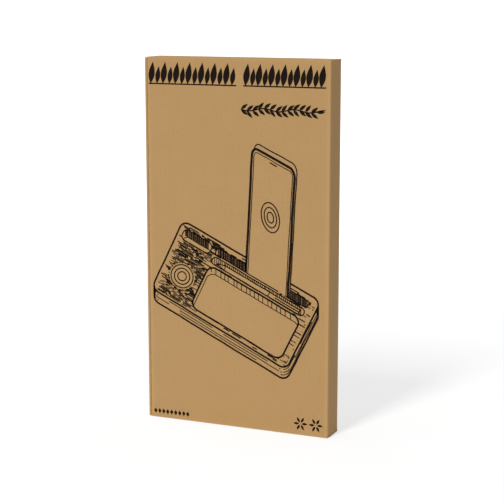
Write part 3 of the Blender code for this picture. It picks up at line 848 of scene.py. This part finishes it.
def build_flap_sheet(run_before):
    """The lid's free edge, its crease and the tuck flap with round corners."""
    angle = math.pi / 2 + flap_lean
    walk = Walk((lid_low.x + seam_from_edge, -half_depth), (-1.0, 0.0), -1, run_before)
    reach = walk.reach(angle)
    edge = tuck_high.x + lid_edge_gap
    walk.straight(lid_low.x + seam_from_edge - reach - edge, lid_low.z, lid_high.z)
    walk.fold(lid_edge_radius, lid_low.z, lid_high.z, angle)
    length = flap_length - reach

    def rounded(gone):
        over = max(0.0, gone - (length - flap_corner))
        return flap_corner - math.sqrt(max(flap_corner ** 2 - over ** 2, 0.0))

    walk.straight(
        length,
        lambda gone: flap_low.z + rounded(gone),
        lambda gone: flap_high.z - rounded(gone),
    )
    sheet = add_board("carton_flap_sheet", walk.columns, free_rows)
    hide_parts("lid_tuck_flap")
    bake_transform(sheet)


def tab_edges(gap):
    """The edges of the lock tabs along x, with a gap round each tab."""
    half = lock_tab_width / 2 + gap
    return [(centre - half, centre + half) for centre in lock_tab_centres]


def slot_places():
    """The lock slots of the back panel: low and high limits along x and z."""
    low, high = lock_slot_low, lock_slot_high
    heights = ((low, high), (carton_height - high, carton_height - low))
    return [edges + height for edges in tab_edges(tab_slot_gap) for height in heights]


def build_back_sheet():
    """Back panel with its lock slots, back fold and tuck wall."""
    walk = Walk((half_width - seam_from_edge, half_depth), (-1.0, 0.0), 1)
    reach = walk.reach()
    panel_low, panel_high = end_seam_height, carton_height - end_seam_height
    stops = sorted({edge for place in slot_places() for edge in place[:2]}, reverse=True)
    stops.append(-half_width + card + seam_from_edge * crushed_start_share)
    for stop in stops:
        walk.straight(walk.point[0] - stop, panel_low, panel_high)
    walk.straight(walk.point[0] - (-half_width + reach), panel_low, panel_high, crushed=True)
    wall_low, wall_high = tuck_wall_setback, carton_height - tuck_wall_setback
    walk.fold(crease_radius, wall_low, wall_high)
    walk.straight(2 * half_depth - reach, wall_low, wall_high)
    rows = rows_between(sorted({edge for place in slot_places() for edge in place[2:]}))

    def missing(i, j):
        column, after = walk.columns[i], walk.columns[i + 1]
        middle_x = (column.outer[0] + after.outer[0]) / 2
        if column.outer[1] < half_depth - card / 2:
            return False
        middle_z = sum(row_places(column, rows)[j:j + 2]) / 2
        return any(a < middle_x < b and c < middle_z < d for a, b, c, d in slot_places())

    def open_edges(i, j):
        return walk.columns[i].outer[1] < half_depth - card and j in (0, len(rows) - 2)

    sheet = add_board("carton_back_sheet", walk.columns, rows, upright, missing, open_edges)
    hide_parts("carton_back_panel", "tuck_side_wall")
    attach(sheet, "carton")


def build_end_sheet(name, node, mirrored):
    """A short wall: fold from the back panel, outer layer, roll and inner layer with two lock tabs."""

    def place(a, b, along):
        return Vector((along, a, carton_height - b if mirrored else b))

    left, right = end_low.x, -end_low.x
    walk = Walk((half_depth, end_seam_height), (0.0, -1.0), -1)
    reach = walk.reach()
    walk.straight(end_seam_height - reach, left, right, crushed=True)
    full_right = half_width - skin_setback
    walk.fold(end_fold_radius, left, full_right)
    front = end_low.y
    walk.straight(half_depth - reach - (front + reach), left, full_right)
    walk.fold(roll_radius, left, right)
    stack = end_high.z
    walk.straight(stack - 2 * reach, left, right, crushed=True)
    walk.fold(roll_radius, left, right)
    back = end_high.y - lock_tab_length
    walk.straight(back - (front + reach), left, right)
    walk.straight(end_high.y - back, left, right)
    rows = rows_between(sorted(edge for edges in tab_edges(0.0) for edge in edges))

    def missing(i, j):
        return j % 2 == 0 and walk.columns[i].run + rounding >= walk.run - (end_high.y - back)

    sheet = add_board(name, walk.columns, rows, place, missing, lambda i, j: False)
    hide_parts(node)
    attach(sheet, "carton")


run_at_seam = build_lid_sheet()
build_flap_sheet(run_at_seam)
build_back_sheet()
build_end_sheet("carton_bottom_end", "bottom_end_wall", mirrored=False)
build_end_sheet("carton_top_end", "top_end_wall", mirrored=True)


# Organizer: its pockets, by their distance along it, across it and up from its bottom

Pocket = namedtuple("Pocket", "low_u high_u low_v high_v corner floor floor_radius")

organizer_low, organizer_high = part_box("bamboo_body")
organizer_length = organizer_high.z - organizer_low.z
organizer_width = organizer_high.x - organizer_low.x
organizer_thickness = organizer_high.y - organizer_low.y
compartment_end = compartment_end_border + compartment_length
pocket_start = compartment_end + divider_wall
pocket_end = organizer_length - end_border
slot_back = organizer_width - back_border
slot_front = slot_back - slot_width
trough_back = slot_front - slot_wall
trough_front = trough_back - trough_width

pockets = {
    "recess": Pocket(
        pocket_start, pocket_end, front_border, trough_front - trough_wall,
        recess_corner_radius, recess_floor, recess_floor_radius,
    ),
    "trough": Pocket(
        pocket_start, pocket_end, trough_front, trough_back,
        trough_corner_radius, trough_floor, trough_floor_radius,
    ),
    "slot": Pocket(
        pocket_start, pocket_end, slot_front, slot_back,
        slot_corner_radius, slot_floor, slot_floor_radius,
    ),
    "compartment": Pocket(
        compartment_end_border, compartment_end, slot_back - compartment_width, slot_back,
        compartment_corner_radius, compartment_floor, compartment_floor_radius,
    ),
}


def round_rect(low_u, high_u, low_v, high_v, radius, steps):
    """A rectangle with round corners, as a closed path."""
    centres = (
        (high_u - radius, high_v - radius), (low_u + radius, high_v - radius),
        (low_u + radius, low_v + radius), (high_u - radius, low_v + radius),
    )
    path = []
    for quarter, (u, v) in enumerate(centres):
        for step in range(steps + 1):
            angle = (quarter + step / steps) * math.pi / 2
            path.append(Vector((u + radius * math.cos(angle), v + radius * math.sin(angle))))
    return path


def circle(radius, steps, centre=(0.0, 0.0)):
    angles = [2 * math.pi * step / steps for step in range(steps)]
    points = [Vector((radius * math.cos(angle), radius * math.sin(angle))) for angle in angles]
    return [Vector(centre) + point for point in points]


# Organizer: its body, finer than the CAD node

def from_organizer(u, v, w):
    return (organizer_high.x - v, organizer_high.y - w, organizer_low.z + u)


def in_organizer(node):
    """A node's lowest and highest corners along, across and up from the organizer's corner."""
    low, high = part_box(node)
    return (
        Vector((low.z - organizer_low.z, organizer_high.x - high.x, organizer_high.y - high.y)),
        Vector((high.z - organizer_low.z, organizer_high.x - low.x, organizer_high.y - low.y)),
    )


def add_solid(mesh, loops, axis="w"):
    """Adds a closed body that passes through loops of points, each at its own level along the axis."""
    rings = []
    for path, level in loops:
        places = [(level, *point) if axis == "u" else (*point, level) for point in path]
        rings.append([mesh.verts.new(from_organizer(*place)) for place in places])
    mesh.faces.new(rings[0])
    mesh.faces.new(rings[-1])
    for below, above in zip(rings, rings[1:]):
        for k in range(len(below)):
            mesh.faces.new((below[k - 1], below[k], above[k], above[k - 1]))


def add_hole(mesh, path, depth, axis="w", start=-cut_overrun):
    """Adds a straight hole from just outside the block, or from a start, to a depth."""
    add_solid(mesh, [(path, start), (path, depth)], axis)


def seat(low, high, first, second):
    """The bounds of a box along two of the organizer's axes, with a gap round it."""
    return (low[first] - seat_gap, high[first] + seat_gap, low[second] - seat_gap, high[second] + seat_gap)


def inset_rect(bounds, radius, inset):
    low_u, high_u, low_v, high_v = bounds
    inner = (low_u + inset, high_u - inset, low_v + inset, high_v - inset)
    return round_rect(*inner, radius - inset, fine_steps)


def quarter_turn():
    """The sines and cosines of a quarter turn's steps."""
    angles = [math.pi / 2 * step / fillet_steps for step in range(fillet_steps + 1)]
    return [(math.sin(angle), math.cos(angle)) for angle in angles]


def block_loops():
    """The block with its outer edges rounded."""
    bounds = (0.0, organizer_length, 0.0, organizer_width)
    edge = organizer_edge_radius
    lower = [(edge * (1 - sine), edge * (1 - cosine)) for sine, cosine in quarter_turn()]
    upper = [(inset, organizer_thickness - level) for inset, level in reversed(lower)]
    return [(inset_rect(bounds, organizer_corner_radius, inset), level) for inset, level in lower + upper]


def pocket_loops(pocket):
    """A milled pocket: a hollow fillet round its floor, straight walls and an eased rim."""
    floor, rim, turn = pocket.floor_radius, pocket_rim_radius, quarter_turn()
    profile = [(floor * (1 - sine), pocket.floor + floor * (1 - cosine)) for sine, cosine in turn]
    profile += [(rim * (cosine - 1), organizer_thickness - rim * (1 - sine)) for sine, cosine in turn[:-1]]
    profile.append((profile[-1][0] - rim, organizer_thickness + rim / 2))
    profile.append((profile[-1][0], organizer_thickness + cut_overrun))
    return [(inset_rect(pocket[:4], pocket.corner, inset), level) for inset, level in profile]


def cut_block(piece, tool):
    """Takes the tool out of the piece for good, and smooths what is left."""
    cut = piece.modifiers.new("cuts", "BOOLEAN")
    cut.operation = "DIFFERENCE"
    cut.solver = "EXACT"
    cut.use_self = True
    cut.object = tool
    smooth = piece.modifiers.new("normals", "WEIGHTED_NORMAL")
    smooth.keep_sharp = True
    bpy.context.view_layer.update()
    shaped = bpy.data.meshes.new_from_object(piece.evaluated_get(bpy.context.evaluated_depsgraph_get()))
    piece.modifiers.clear()
    piece.data = shaped
    bpy.data.objects.remove(tool)


def build_organizer():
    """The milled block, with seats for all that sits in it."""
    block = bmesh.new()
    add_solid(block, block_loops())
    cutter = bmesh.new()
    for pocket in pockets.values():
        add_solid(cutter, pocket_loops(pocket))

    sheet_low, sheet_high = in_organizer("ferrite_sheet")
    middle = (sheet_low + sheet_high) / 2
    half = cavity_side / 2
    bounds = (middle.x - half, middle.x + half, middle.y - half, middle.y + half)
    path = round_rect(*bounds, cavity_corner_radius, fillet_steps)
    add_hole(cutter, path, organizer_thickness - charging_skin)

    path = round_rect(*seat(*in_organizer("bottom_cover"), 0, 1), cover_corner_radius, fillet_steps)
    add_hole(cutter, path, cover_thickness + seat_gap)

    board_low, board_high = in_organizer("circuit_board")
    shell_low, shell_high = in_organizer("usb_socket_shell")
    half = board_tongue_width / 2
    bounds = (board_low.x - seat_gap, port_wall + cut_overrun, middle.y - half, middle.y + half)
    path = round_rect(*bounds, seat_gap, 1)
    add_hole(cutter, path, board_high.z + seat_gap, start=(shell_low.z + shell_high.z) / 2)

    path = round_rect(*seat(*in_organizer("port_bezel"), 1, 2), port_corner_radius, fillet_steps)
    add_hole(cutter, path, port_wall + cut_overrun, "u")

    low, high = in_organizer("light_pipe")
    centre = Vector((low.y + high.y, low.z + high.z)) / 2
    path = circle((high.y - low.y) / 2 + seat_gap, hole_steps, centre)
    add_hole(cutter, path, port_wall + cut_overrun, "u")

    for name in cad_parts:
        if name.startswith(("rubber_foot", "cover_screw")):
            low, high = in_organizer(name)
            radius = (high.x - low.x) / 2 if name.startswith("rubber_foot") else screw_shank_radius
            path = circle(radius + seat_gap, hole_steps, (low + high).to_2d() / 2)
            add_hole(cutter, path, high.z + seat_gap)

    piece = add_object("bamboo_organizer", block, bamboo)
    cut_block(piece, add_object("organizer_cuts", cutter, bamboo))
    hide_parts("bamboo_body")
    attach(piece, "carton")


build_organizer()


# Print

class Print:
    """Flat shapes on a surface, each a thin closed prism that sinks a little into it.

    The place function says where a point of the surface is, at a depth.
    """

    def __init__(self, place):
        self.mesh = bmesh.new()
        self.place = place

    def pair(self, point):
        """One point of a shape on its front and on its back."""
        return [self.mesh.verts.new(self.place(point, depth)) for depth in (0.0, ink_thickness)]

    def shape(self, outline):
        front, back = zip(*[self.pair(point) for point in outline])
        self.mesh.faces.new(front)
        self.mesh.faces.new(back[::-1])
        for k in range(len(outline)):
            self.mesh.faces.new((front[k], front[k - 1], back[k - 1], back[k]))

    def line(self, path, width, closed=False):
        """A ribbon along a path."""
        path = [
            point for k, point in enumerate(path) if k == 0 or (point - path[k - 1]).length > skin_setback
        ]
        if len(path) < 2:
            return
        ribs = []
        for k, point in enumerate(path):
            before = path[k - 1] if closed or k > 0 else None
            after = path[(k + 1) % len(path)] if closed or k + 1 < len(path) else None
            into = (point - before).normalized() if before else (after - point).normalized()
            out = (after - point).normalized() if after else into
            course = (into + out).normalized()
            swell = 1 / max(course.dot(into), least_bend_share)
            rib = Vector((-course.y, course.x)) * (width / 2 * swell)
            ribs.append(self.pair(point + rib) + self.pair(point - rib))
        for a, b in zip(ribs, ribs[1:] + ribs[:1] if closed else ribs[1:]):
            for first, second in ((0, 2), (3, 1), (1, 0), (2, 3)):
                self.mesh.faces.new((a[first], a[second], b[second], b[first]))
        if not closed:
            for rib in (ribs[0], ribs[-1]):
                self.mesh.faces.new((rib[0], rib[1], rib[3], rib[2]))

    def leaf(self, foot, angle, length, width):
        """A pointed leaf that grows from its foot."""
        along = Vector((math.cos(angle), -math.sin(angle)))
        aside = Vector((-along.y, along.x))
        right, left = [], []
        for step in range(leaf_steps + 1):
            share = step / leaf_steps
            half = width * math.sin(math.pi * share) * (leaf_foot_share - leaf_taper_share * share) / 2
            right.append(foot + along * (length * share) + aside * half)
            left.append(foot + along * (length * share) - aside * half)
        self.shape(right + left[-2:0:-1])


def inside(point, outline):
    """Whether a point lies within a closed path."""
    crossings = 0
    for a, b in zip(outline, outline[1:] + outline[:1]):
        if (a.y > point.y) != (b.y > point.y):
            crossings += point.x < a.x + (point.y - a.y) * (b.x - a.x) / (b.y - a.y)
    return crossings % 2 == 1


def stretches(path, keep, closed=False):
    """The stretches of a path whose points pass keep."""
    if closed:
        path = path + path[:1]
    runs, run = [], []
    for a, b in zip(path, path[1:]):
        steps = max(1, math.ceil((b - a).length / clip_step))
        for step in range(steps + 1):
            point = a.lerp(b, step / steps)
            if keep(point):
                if not run or step == 0:
                    run.append(point)
            elif run:
                runs.append(run + [last])
                run = []
            last = point
    if run:
        runs.append(run + [last])
    return runs


def by_hand(path, chance, closed=False):
    """The path as a hand draws it: long straight stretches sway a little."""
    ends = path[1:] + path[:1] if closed else path[1:]
    swayed = []
    for a, b in zip(path, ends):
        pieces = max(1, round((b - a).length / hand_step))
        aside = Vector((a.y - b.y, b.x - a.x)).normalized()
        swayed.append(a)
        for piece in range(1, pieces):
            swayed.append(a.lerp(b, piece / pieces) + aside * chance.uniform(-hand_sway, hand_sway))
    return swayed if closed else swayed + [path[-1]]


def print_frieze(sheet):
    """A level stem in each group, and leaves that stand on it side by side, tall and short in turn."""
    for start, end in frieze_groups:
        stem = [Vector((x, frieze_stem_height)) for x in (start, end)]
        sheet.line(stem, frieze_stem_width)
        widest = frieze_leaf_sizes[0][1]
        gaps = round((end - start - widest) / frieze_leaf_pitch)
        pitch = (end - start - widest) / gaps
        for number in range(gaps + 1):
            length, width = frieze_leaf_sizes[number % 2]
            x = start + widest / 2 + number * pitch - length / 2 * math.sin(frieze_leaf_lean)
            sheet.leaf(Vector((x, frieze_stem_height)), math.pi / 2 - frieze_leaf_lean, length, width)


def print_sprig(sheet):
    """A level stem that sways, with leaves above and below it in turn."""
    def stem(x):
        turn = 2 * math.pi * (x - sprig_start) / sprig_wave
        return Vector((x, sprig_height + sprig_sway * math.sin(turn)))

    steps = round((sprig_end - sprig_start) / hand_step) * leaf_steps
    xs = [sprig_start + (sprig_end - sprig_start) * step / steps for step in range(steps + 1)]
    sheet.line([stem(x) for x in xs], thin_line)
    count = int((sprig_end - sprig_start - sprig_leaf_length) / sprig_leaf_pitch)
    for number in range(count + 1):
        middle = stem(sprig_start + number * sprig_leaf_pitch)
        for side in (-1, 1):
            angle = sprig_leaf_angle if (number + side) % sprig_angle_period else sprig_wide_angle
            foot = middle - Vector((0.0, side * sprig_foot_rise))
            sheet.leaf(foot, side * angle, sprig_leaf_length, sprig_leaf_width)
    sheet.leaf(stem(sprig_end - sprig_leaf_length), 0.0, sprig_leaf_length, sprig_leaf_width)


def print_corner_ornaments(sheet):
    """A row of lozenges near one lower corner, and rosettes near the other."""
    across, down = Vector((lozenge_half_width, 0.0)), Vector((0.0, lozenge_half_height))
    for number in range(lozenge_count):
        centre = Vector((lozenge_row_start + number * lozenge_pitch, lozenge_row_height))
        sheet.shape([centre - across, centre - down, centre + across, centre + down])
    for place in rosette_places:
        for number in range(rosette_leaves):
            angle = 2 * math.pi * number / rosette_leaves
            foot = Vector(place) + Vector((math.cos(angle), -math.sin(angle))) * rosette_leaf_width / 2
            sheet.leaf(foot, angle, rosette_leaf_length, rosette_leaf_width)


def drawn(u, v, w):
    """Where a point of the organizer lands in the drawing of it."""
    shares = zip(drawing_origin, drawing_length_share, drawing_width_share, drawing_height_share)
    return Vector([start + u * a + v * b + w * c for start, a, b, c in shares])


def print_drawing(sheet, chance):
    """A line drawing of the organizer with a pen in its trough and a phone standing in its slot."""
    top = organizer_thickness

    def level(path, height):
        return [drawn(point.x, point.y, height) for point in path]

    def on_phone(u, rise):
        foot = drawn(phone_start + u, slot_front, top)
        back = Vector(drawing_width_share) * (rise * math.sin(phone_lean))
        return foot + back + Vector(drawing_height_share) * (rise * math.cos(phone_lean))

    def phone_path(border):
        low, high, radius = border, phone_width - border, phone_corner - border
        path = round_rect(low, high, -phone_corner, phone_reach - border, radius, curve_steps)
        upper = [on_phone(point.x, point.y) for point in path if point.y > 0.0]
        return [on_phone(high, 0.0)] + upper + [on_phone(low, 0.0)]

    phone = phone_path(0.0)
    phone_back = [point + Vector(drawing_width_share) * phone_thickness for point in phone]

    def bare(point):
        return not inside(point, phone) and not inside(point, phone_back)

    body = round_rect(0.0, organizer_length, 0.0, organizer_width, organizer_corner_radius, curve_steps)
    top_edge = level(body, top)
    rims = {
        name: round_rect(*pocket[:4], pocket.corner, curve_steps) for name, pocket in pockets.items()
    }
    rim_lines = {name: level(rim, top) for name, rim in rims.items()}

    def draw(path, width, keep=bare, closed=False):
        for stretch in stretches(by_hand(path, chance, closed), keep, closed):
            sheet.line(stretch, width)

    draw(top_edge, main_line, closed=True)
    draw(level(body, 0.0), main_line, lambda point: not inside(point, top_edge), closed=True)
    facing = Vector((drawing_length_share[0], drawing_width_share[0])).normalized() * organizer_corner_radius
    near = Vector((organizer_corner_radius, organizer_corner_radius)) - facing
    far = Vector((organizer_length, organizer_width)) - near
    for place in (near, far):
        draw([drawn(*place, top), drawn(*place, 0.0)], main_line)

    trough = pockets["trough"]
    pen_middle = (trough.low_v + trough.high_v) / 2
    pen_low, pen_high = trough.low_u + pen_margin, trough.high_u - pen_margin
    barrel = [
        Vector((pen_low, pen_middle)),
        Vector((pen_low + pen_tip_length, pen_middle - pen_radius)),
        Vector((pen_high, pen_middle - pen_radius)),
        Vector((pen_high, pen_middle + pen_radius)),
        Vector((pen_low + pen_tip_length, pen_middle + pen_radius)),
    ]
    height = trough.floor + 2 * pen_radius
    pen = level(barrel, height)

    for name, pocket in pockets.items():
        rim = rim_lines[name]

        def within(point):
            return bare(point) and inside(point, rim) and not inside(point, pen)

        draw(rim, main_line if name == "recess" else thin_line, closed=True)
        draw(level(rims[name], pocket.floor), fine_line, within, closed=True)
        pitch = wall_line_pitches[name]
        for number in range(int((pocket.high_u - pocket.low_u - pocket.corner) / pitch)):
            u = pocket.low_u + (number + chance.uniform(*wall_line_shares)) * pitch
            draw([drawn(u, pocket.high_v, top), drawn(u, pocket.high_v, pocket.floor)], fine_line, within)

    def on_top(point):
        free = not any(inside(point, rim) for rim in rim_lines.values())
        return free and bare(point) and not inside(point, pad)

    pad = level(circle(pad_clear_radius, ring_steps, pad_centre), top)
    last = organizer_length - grain_margin
    for row in range(int((organizer_width - 2 * grain_margin) / grain_pitch) + 1):
        v = grain_margin + row * grain_pitch
        u = grain_margin + chance.random() * end_border
        while u < last:
            end = min(u + chance.uniform(*grain_dash_shares) * end_border, last)
            sway = chance.uniform(-grain_sway_share, grain_sway_share) * grain_pitch
            path = [drawn(u, v, top), drawn((u + end) / 2, v + sway, top), drawn(end, v, top)]
            if pocket_start - divider_wall > u or chance.random() < open_grain_share:
                draw(path, thin_line if chance.random() < bold_grain_share else fine_line, on_top)
            u = end + chance.uniform(*grain_gap_shares) * end_border
    for share in side_grain_shares:
        side = by_hand(level(body, top * share), chance, closed=True)
        for stretch in stretches(side, lambda point: not inside(point, top_edge), closed=True):
            for a, b in zip(stretch, stretch[1:]):
                if chance.random() < side_grain_kept_share:
                    sheet.line([a, b], fine_line)

    for radius in pad_ring_radii:
        sheet.line(level(circle(radius, ring_steps, pad_centre), top), thin_line, closed=True)

    draw(pen, thin_line, closed=True)
    for u in (pen_low + pen_tip_length, pen_high - pen_cap_length):
        band = [Vector((u, pen_middle - pen_radius)), Vector((u, pen_middle + pen_radius))]
        draw(level(band, height), fine_line)
    clip = [Vector((pen_high, pen_middle)), Vector((pen_high - pen_cap_length * pen_clip_share, pen_middle))]
    draw(level(clip, height), thin_line)

    sheet.line(by_hand(phone, chance), bold_line)
    for stretch in stretches(by_hand(phone_back, chance), lambda point: not inside(point, phone)):
        sheet.line(stretch, thin_line)
    sheet.line(by_hand(phone_path(phone_border), chance), fine_line)
    for radius in phone_ring_radii:
        ring = circle(radius, ring_steps, (phone_width / 2, phone_ring_height))
        sheet.line([on_phone(*point) for point in ring], thin_line, closed=True)
    ends = [phone_width / 2 + side * speaker_length / 2 for side in (-1, 1)]
    sheet.line([on_phone(end, phone_reach - speaker_from_top) for end in ends], thin_line)


def build_print():
    """All the ink on the lid, between the stretches that bend at its two creases."""
    sheet = Print(lambda point, depth: (point.x - half_width, depth - half_depth, carton_height - point.y))
    print_frieze(sheet)
    print_sprig(sheet)
    print_corner_ornaments(sheet)
    print_drawing(sheet, random.Random(print_seed))
    piece = add_object("lid_print", sheet.mesh, ink)
    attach(piece, "lid")


def build_charging_mark():
    """Rings burnt into the organizer's top over the coil."""
    top = organizer_thickness + pad_mark_rise
    sheet = Print(lambda point, depth: from_organizer(point.x, point.y, top - depth))
    for radius in pad_ring_radii:
        sheet.line(circle(radius, pad_mark_steps, pad_centre), pad_mark_line, closed=True)
    piece = add_object("charging_mark", sheet.mesh, burnt)
    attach(piece, "carton")


build_print()
build_charging_mark()


# Floor, light and camera

def build_stage():
    """A floor that shows as white, keeps the object's soft shadow, and bounces more light near the object, a
    painted pool of light.
    """
    mesh = bmesh.new()
    corners = ((-1, -1), (1, -1), (1, 1), (-1, 1))
    mesh.faces.new([mesh.verts.new((x * floor_size, y * floor_size, 0.0)) for x, y in corners])
    data = bpy.data.meshes.new("floor")
    mesh.to_mesh(data)
    mesh.free()
    floor = bpy.data.objects.new("floor", data)
    bpy.context.scene.collection.objects.link(floor)
    paint = Paint("white_floor", floor_roughness, white)
    path = paint.node("LightPath", {})
    seen = paint.math("MAXIMUM", path["Is Camera Ray"], path["Is Glossy Ray"])
    seen = paint.math("MAXIMUM", seen, path["Is Transmission Ray"])
    distance = paint.node("VectorMath", {0: paint.place}, operation="LENGTH")["Value"]
    lift = paint.ramp(distance, lift_near / mm, lift_far / mm, floor_lift, 1.0)
    # Painted pool of light: the floor's bounce colour is brighter near the object and dims farther off.
    far = paint.ramp(distance, painted_light_pool_inner / mm, painted_light_pool_outer / mm)
    painted_pool_bounce = paint.mix(far, shade(white, painted_pool_bounce_share), shade(white, bounce_outside_painted_pool))
    paint.shader["Specular IOR Level"].default_value = 0.0
    paint.feed(paint.shader["Emission Color"], white)
    paint.feed(paint.shader["Emission Strength"], paint.math("MULTIPLY", seen, lift))
    paint.feed(paint.shader["Base Color"], paint.mix(seen, painted_pool_bounce, shade(white, floor_seen_share)))
    data.materials.append(paint.material)


def build_world():
    """Even light from all round, which the camera sees as white."""
    world = bpy.data.worlds.new("studio")
    bpy.context.scene.world = world
    world.use_nodes = True
    tree = world.node_tree
    tree.nodes.clear()
    output = tree.nodes.new("ShaderNodeOutputWorld")
    seen = tree.nodes.new("ShaderNodeLightPath")
    mix = tree.nodes.new("ShaderNodeMixShader")
    tree.links.new(seen.outputs["Is Camera Ray"], mix.inputs[0])
    for slot, (colour, strength) in enumerate(((world_colour, world_strength), (white, 1.0)), start=1):
        background = tree.nodes.new("ShaderNodeBackground")
        background.inputs["Color"].default_value = (*colour, 1.0)
        background.inputs["Strength"].default_value = strength
        tree.links.new(background.outputs[0], mix.inputs[slot])
    tree.links.new(mix.outputs[0], output.inputs[0])


def add_area_light(name, place, target, size, power, colour):
    light = bpy.data.lights.new(name, "AREA")
    light.shape = "RECTANGLE"
    light.size, light.size_y = size
    light.energy = power
    light.color = colour
    lamp = bpy.data.objects.new(name, light)
    lamp.location = place
    lamp.rotation_mode = "QUATERNION"
    lamp.rotation_quaternion = (Vector(target) - Vector(place)).to_track_quat("-Z", "Y")
    bpy.context.scene.collection.objects.link(lamp)


def build_camera():
    data = bpy.data.cameras.new("camera")
    data.lens = camera_lens
    data.sensor_width = sensor_width
    data.clip_start = clip_near
    data.clip_end = clip_far
    camera = bpy.data.objects.new("camera", data)
    camera.location = camera_place
    camera.rotation_euler = (math.pi / 2 + camera_pitch, 0.0, camera_turn)
    bpy.context.scene.collection.objects.link(camera)
    bpy.context.scene.camera = camera


build_stage()
build_world()
middle = (0.0, 0.0, carton_height / 2)
add_area_light("key_light", key_place, middle, key_size, key_power, key_colour)
add_area_light("overhead_light", overhead_place, middle, overhead_size, overhead_power, white)
build_camera()
bpy.context.scene.view_settings.view_transform = "Standard"

# CAD nodes that stay, with their finer materials
kept = {
    "hinge_wall_tab": kraft_inside, "tuck_wall_tab": kraft_inside,
    "bamboo_body": bamboo, "bottom_cover": black, "cover_screw": steel, "rubber_foot": rubber,
    "charging_coil": copper, "ferrite_sheet": ferrite, "circuit_board": circuit,
    "controller_chip": black, "bridge_transistor": black, "power_inductor": ferrite,
    "resonance_capacitor": ceramic, "usb_socket_shell": steel, "usb_socket_tongue": black,
    "port_bezel": black, "status_led": clear, "light_pipe": clear,
}
for start, material in kept.items():
    for name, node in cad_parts.items():
        if name.startswith(start):
            node.data.materials.clear()
            node.data.materials.append(material)
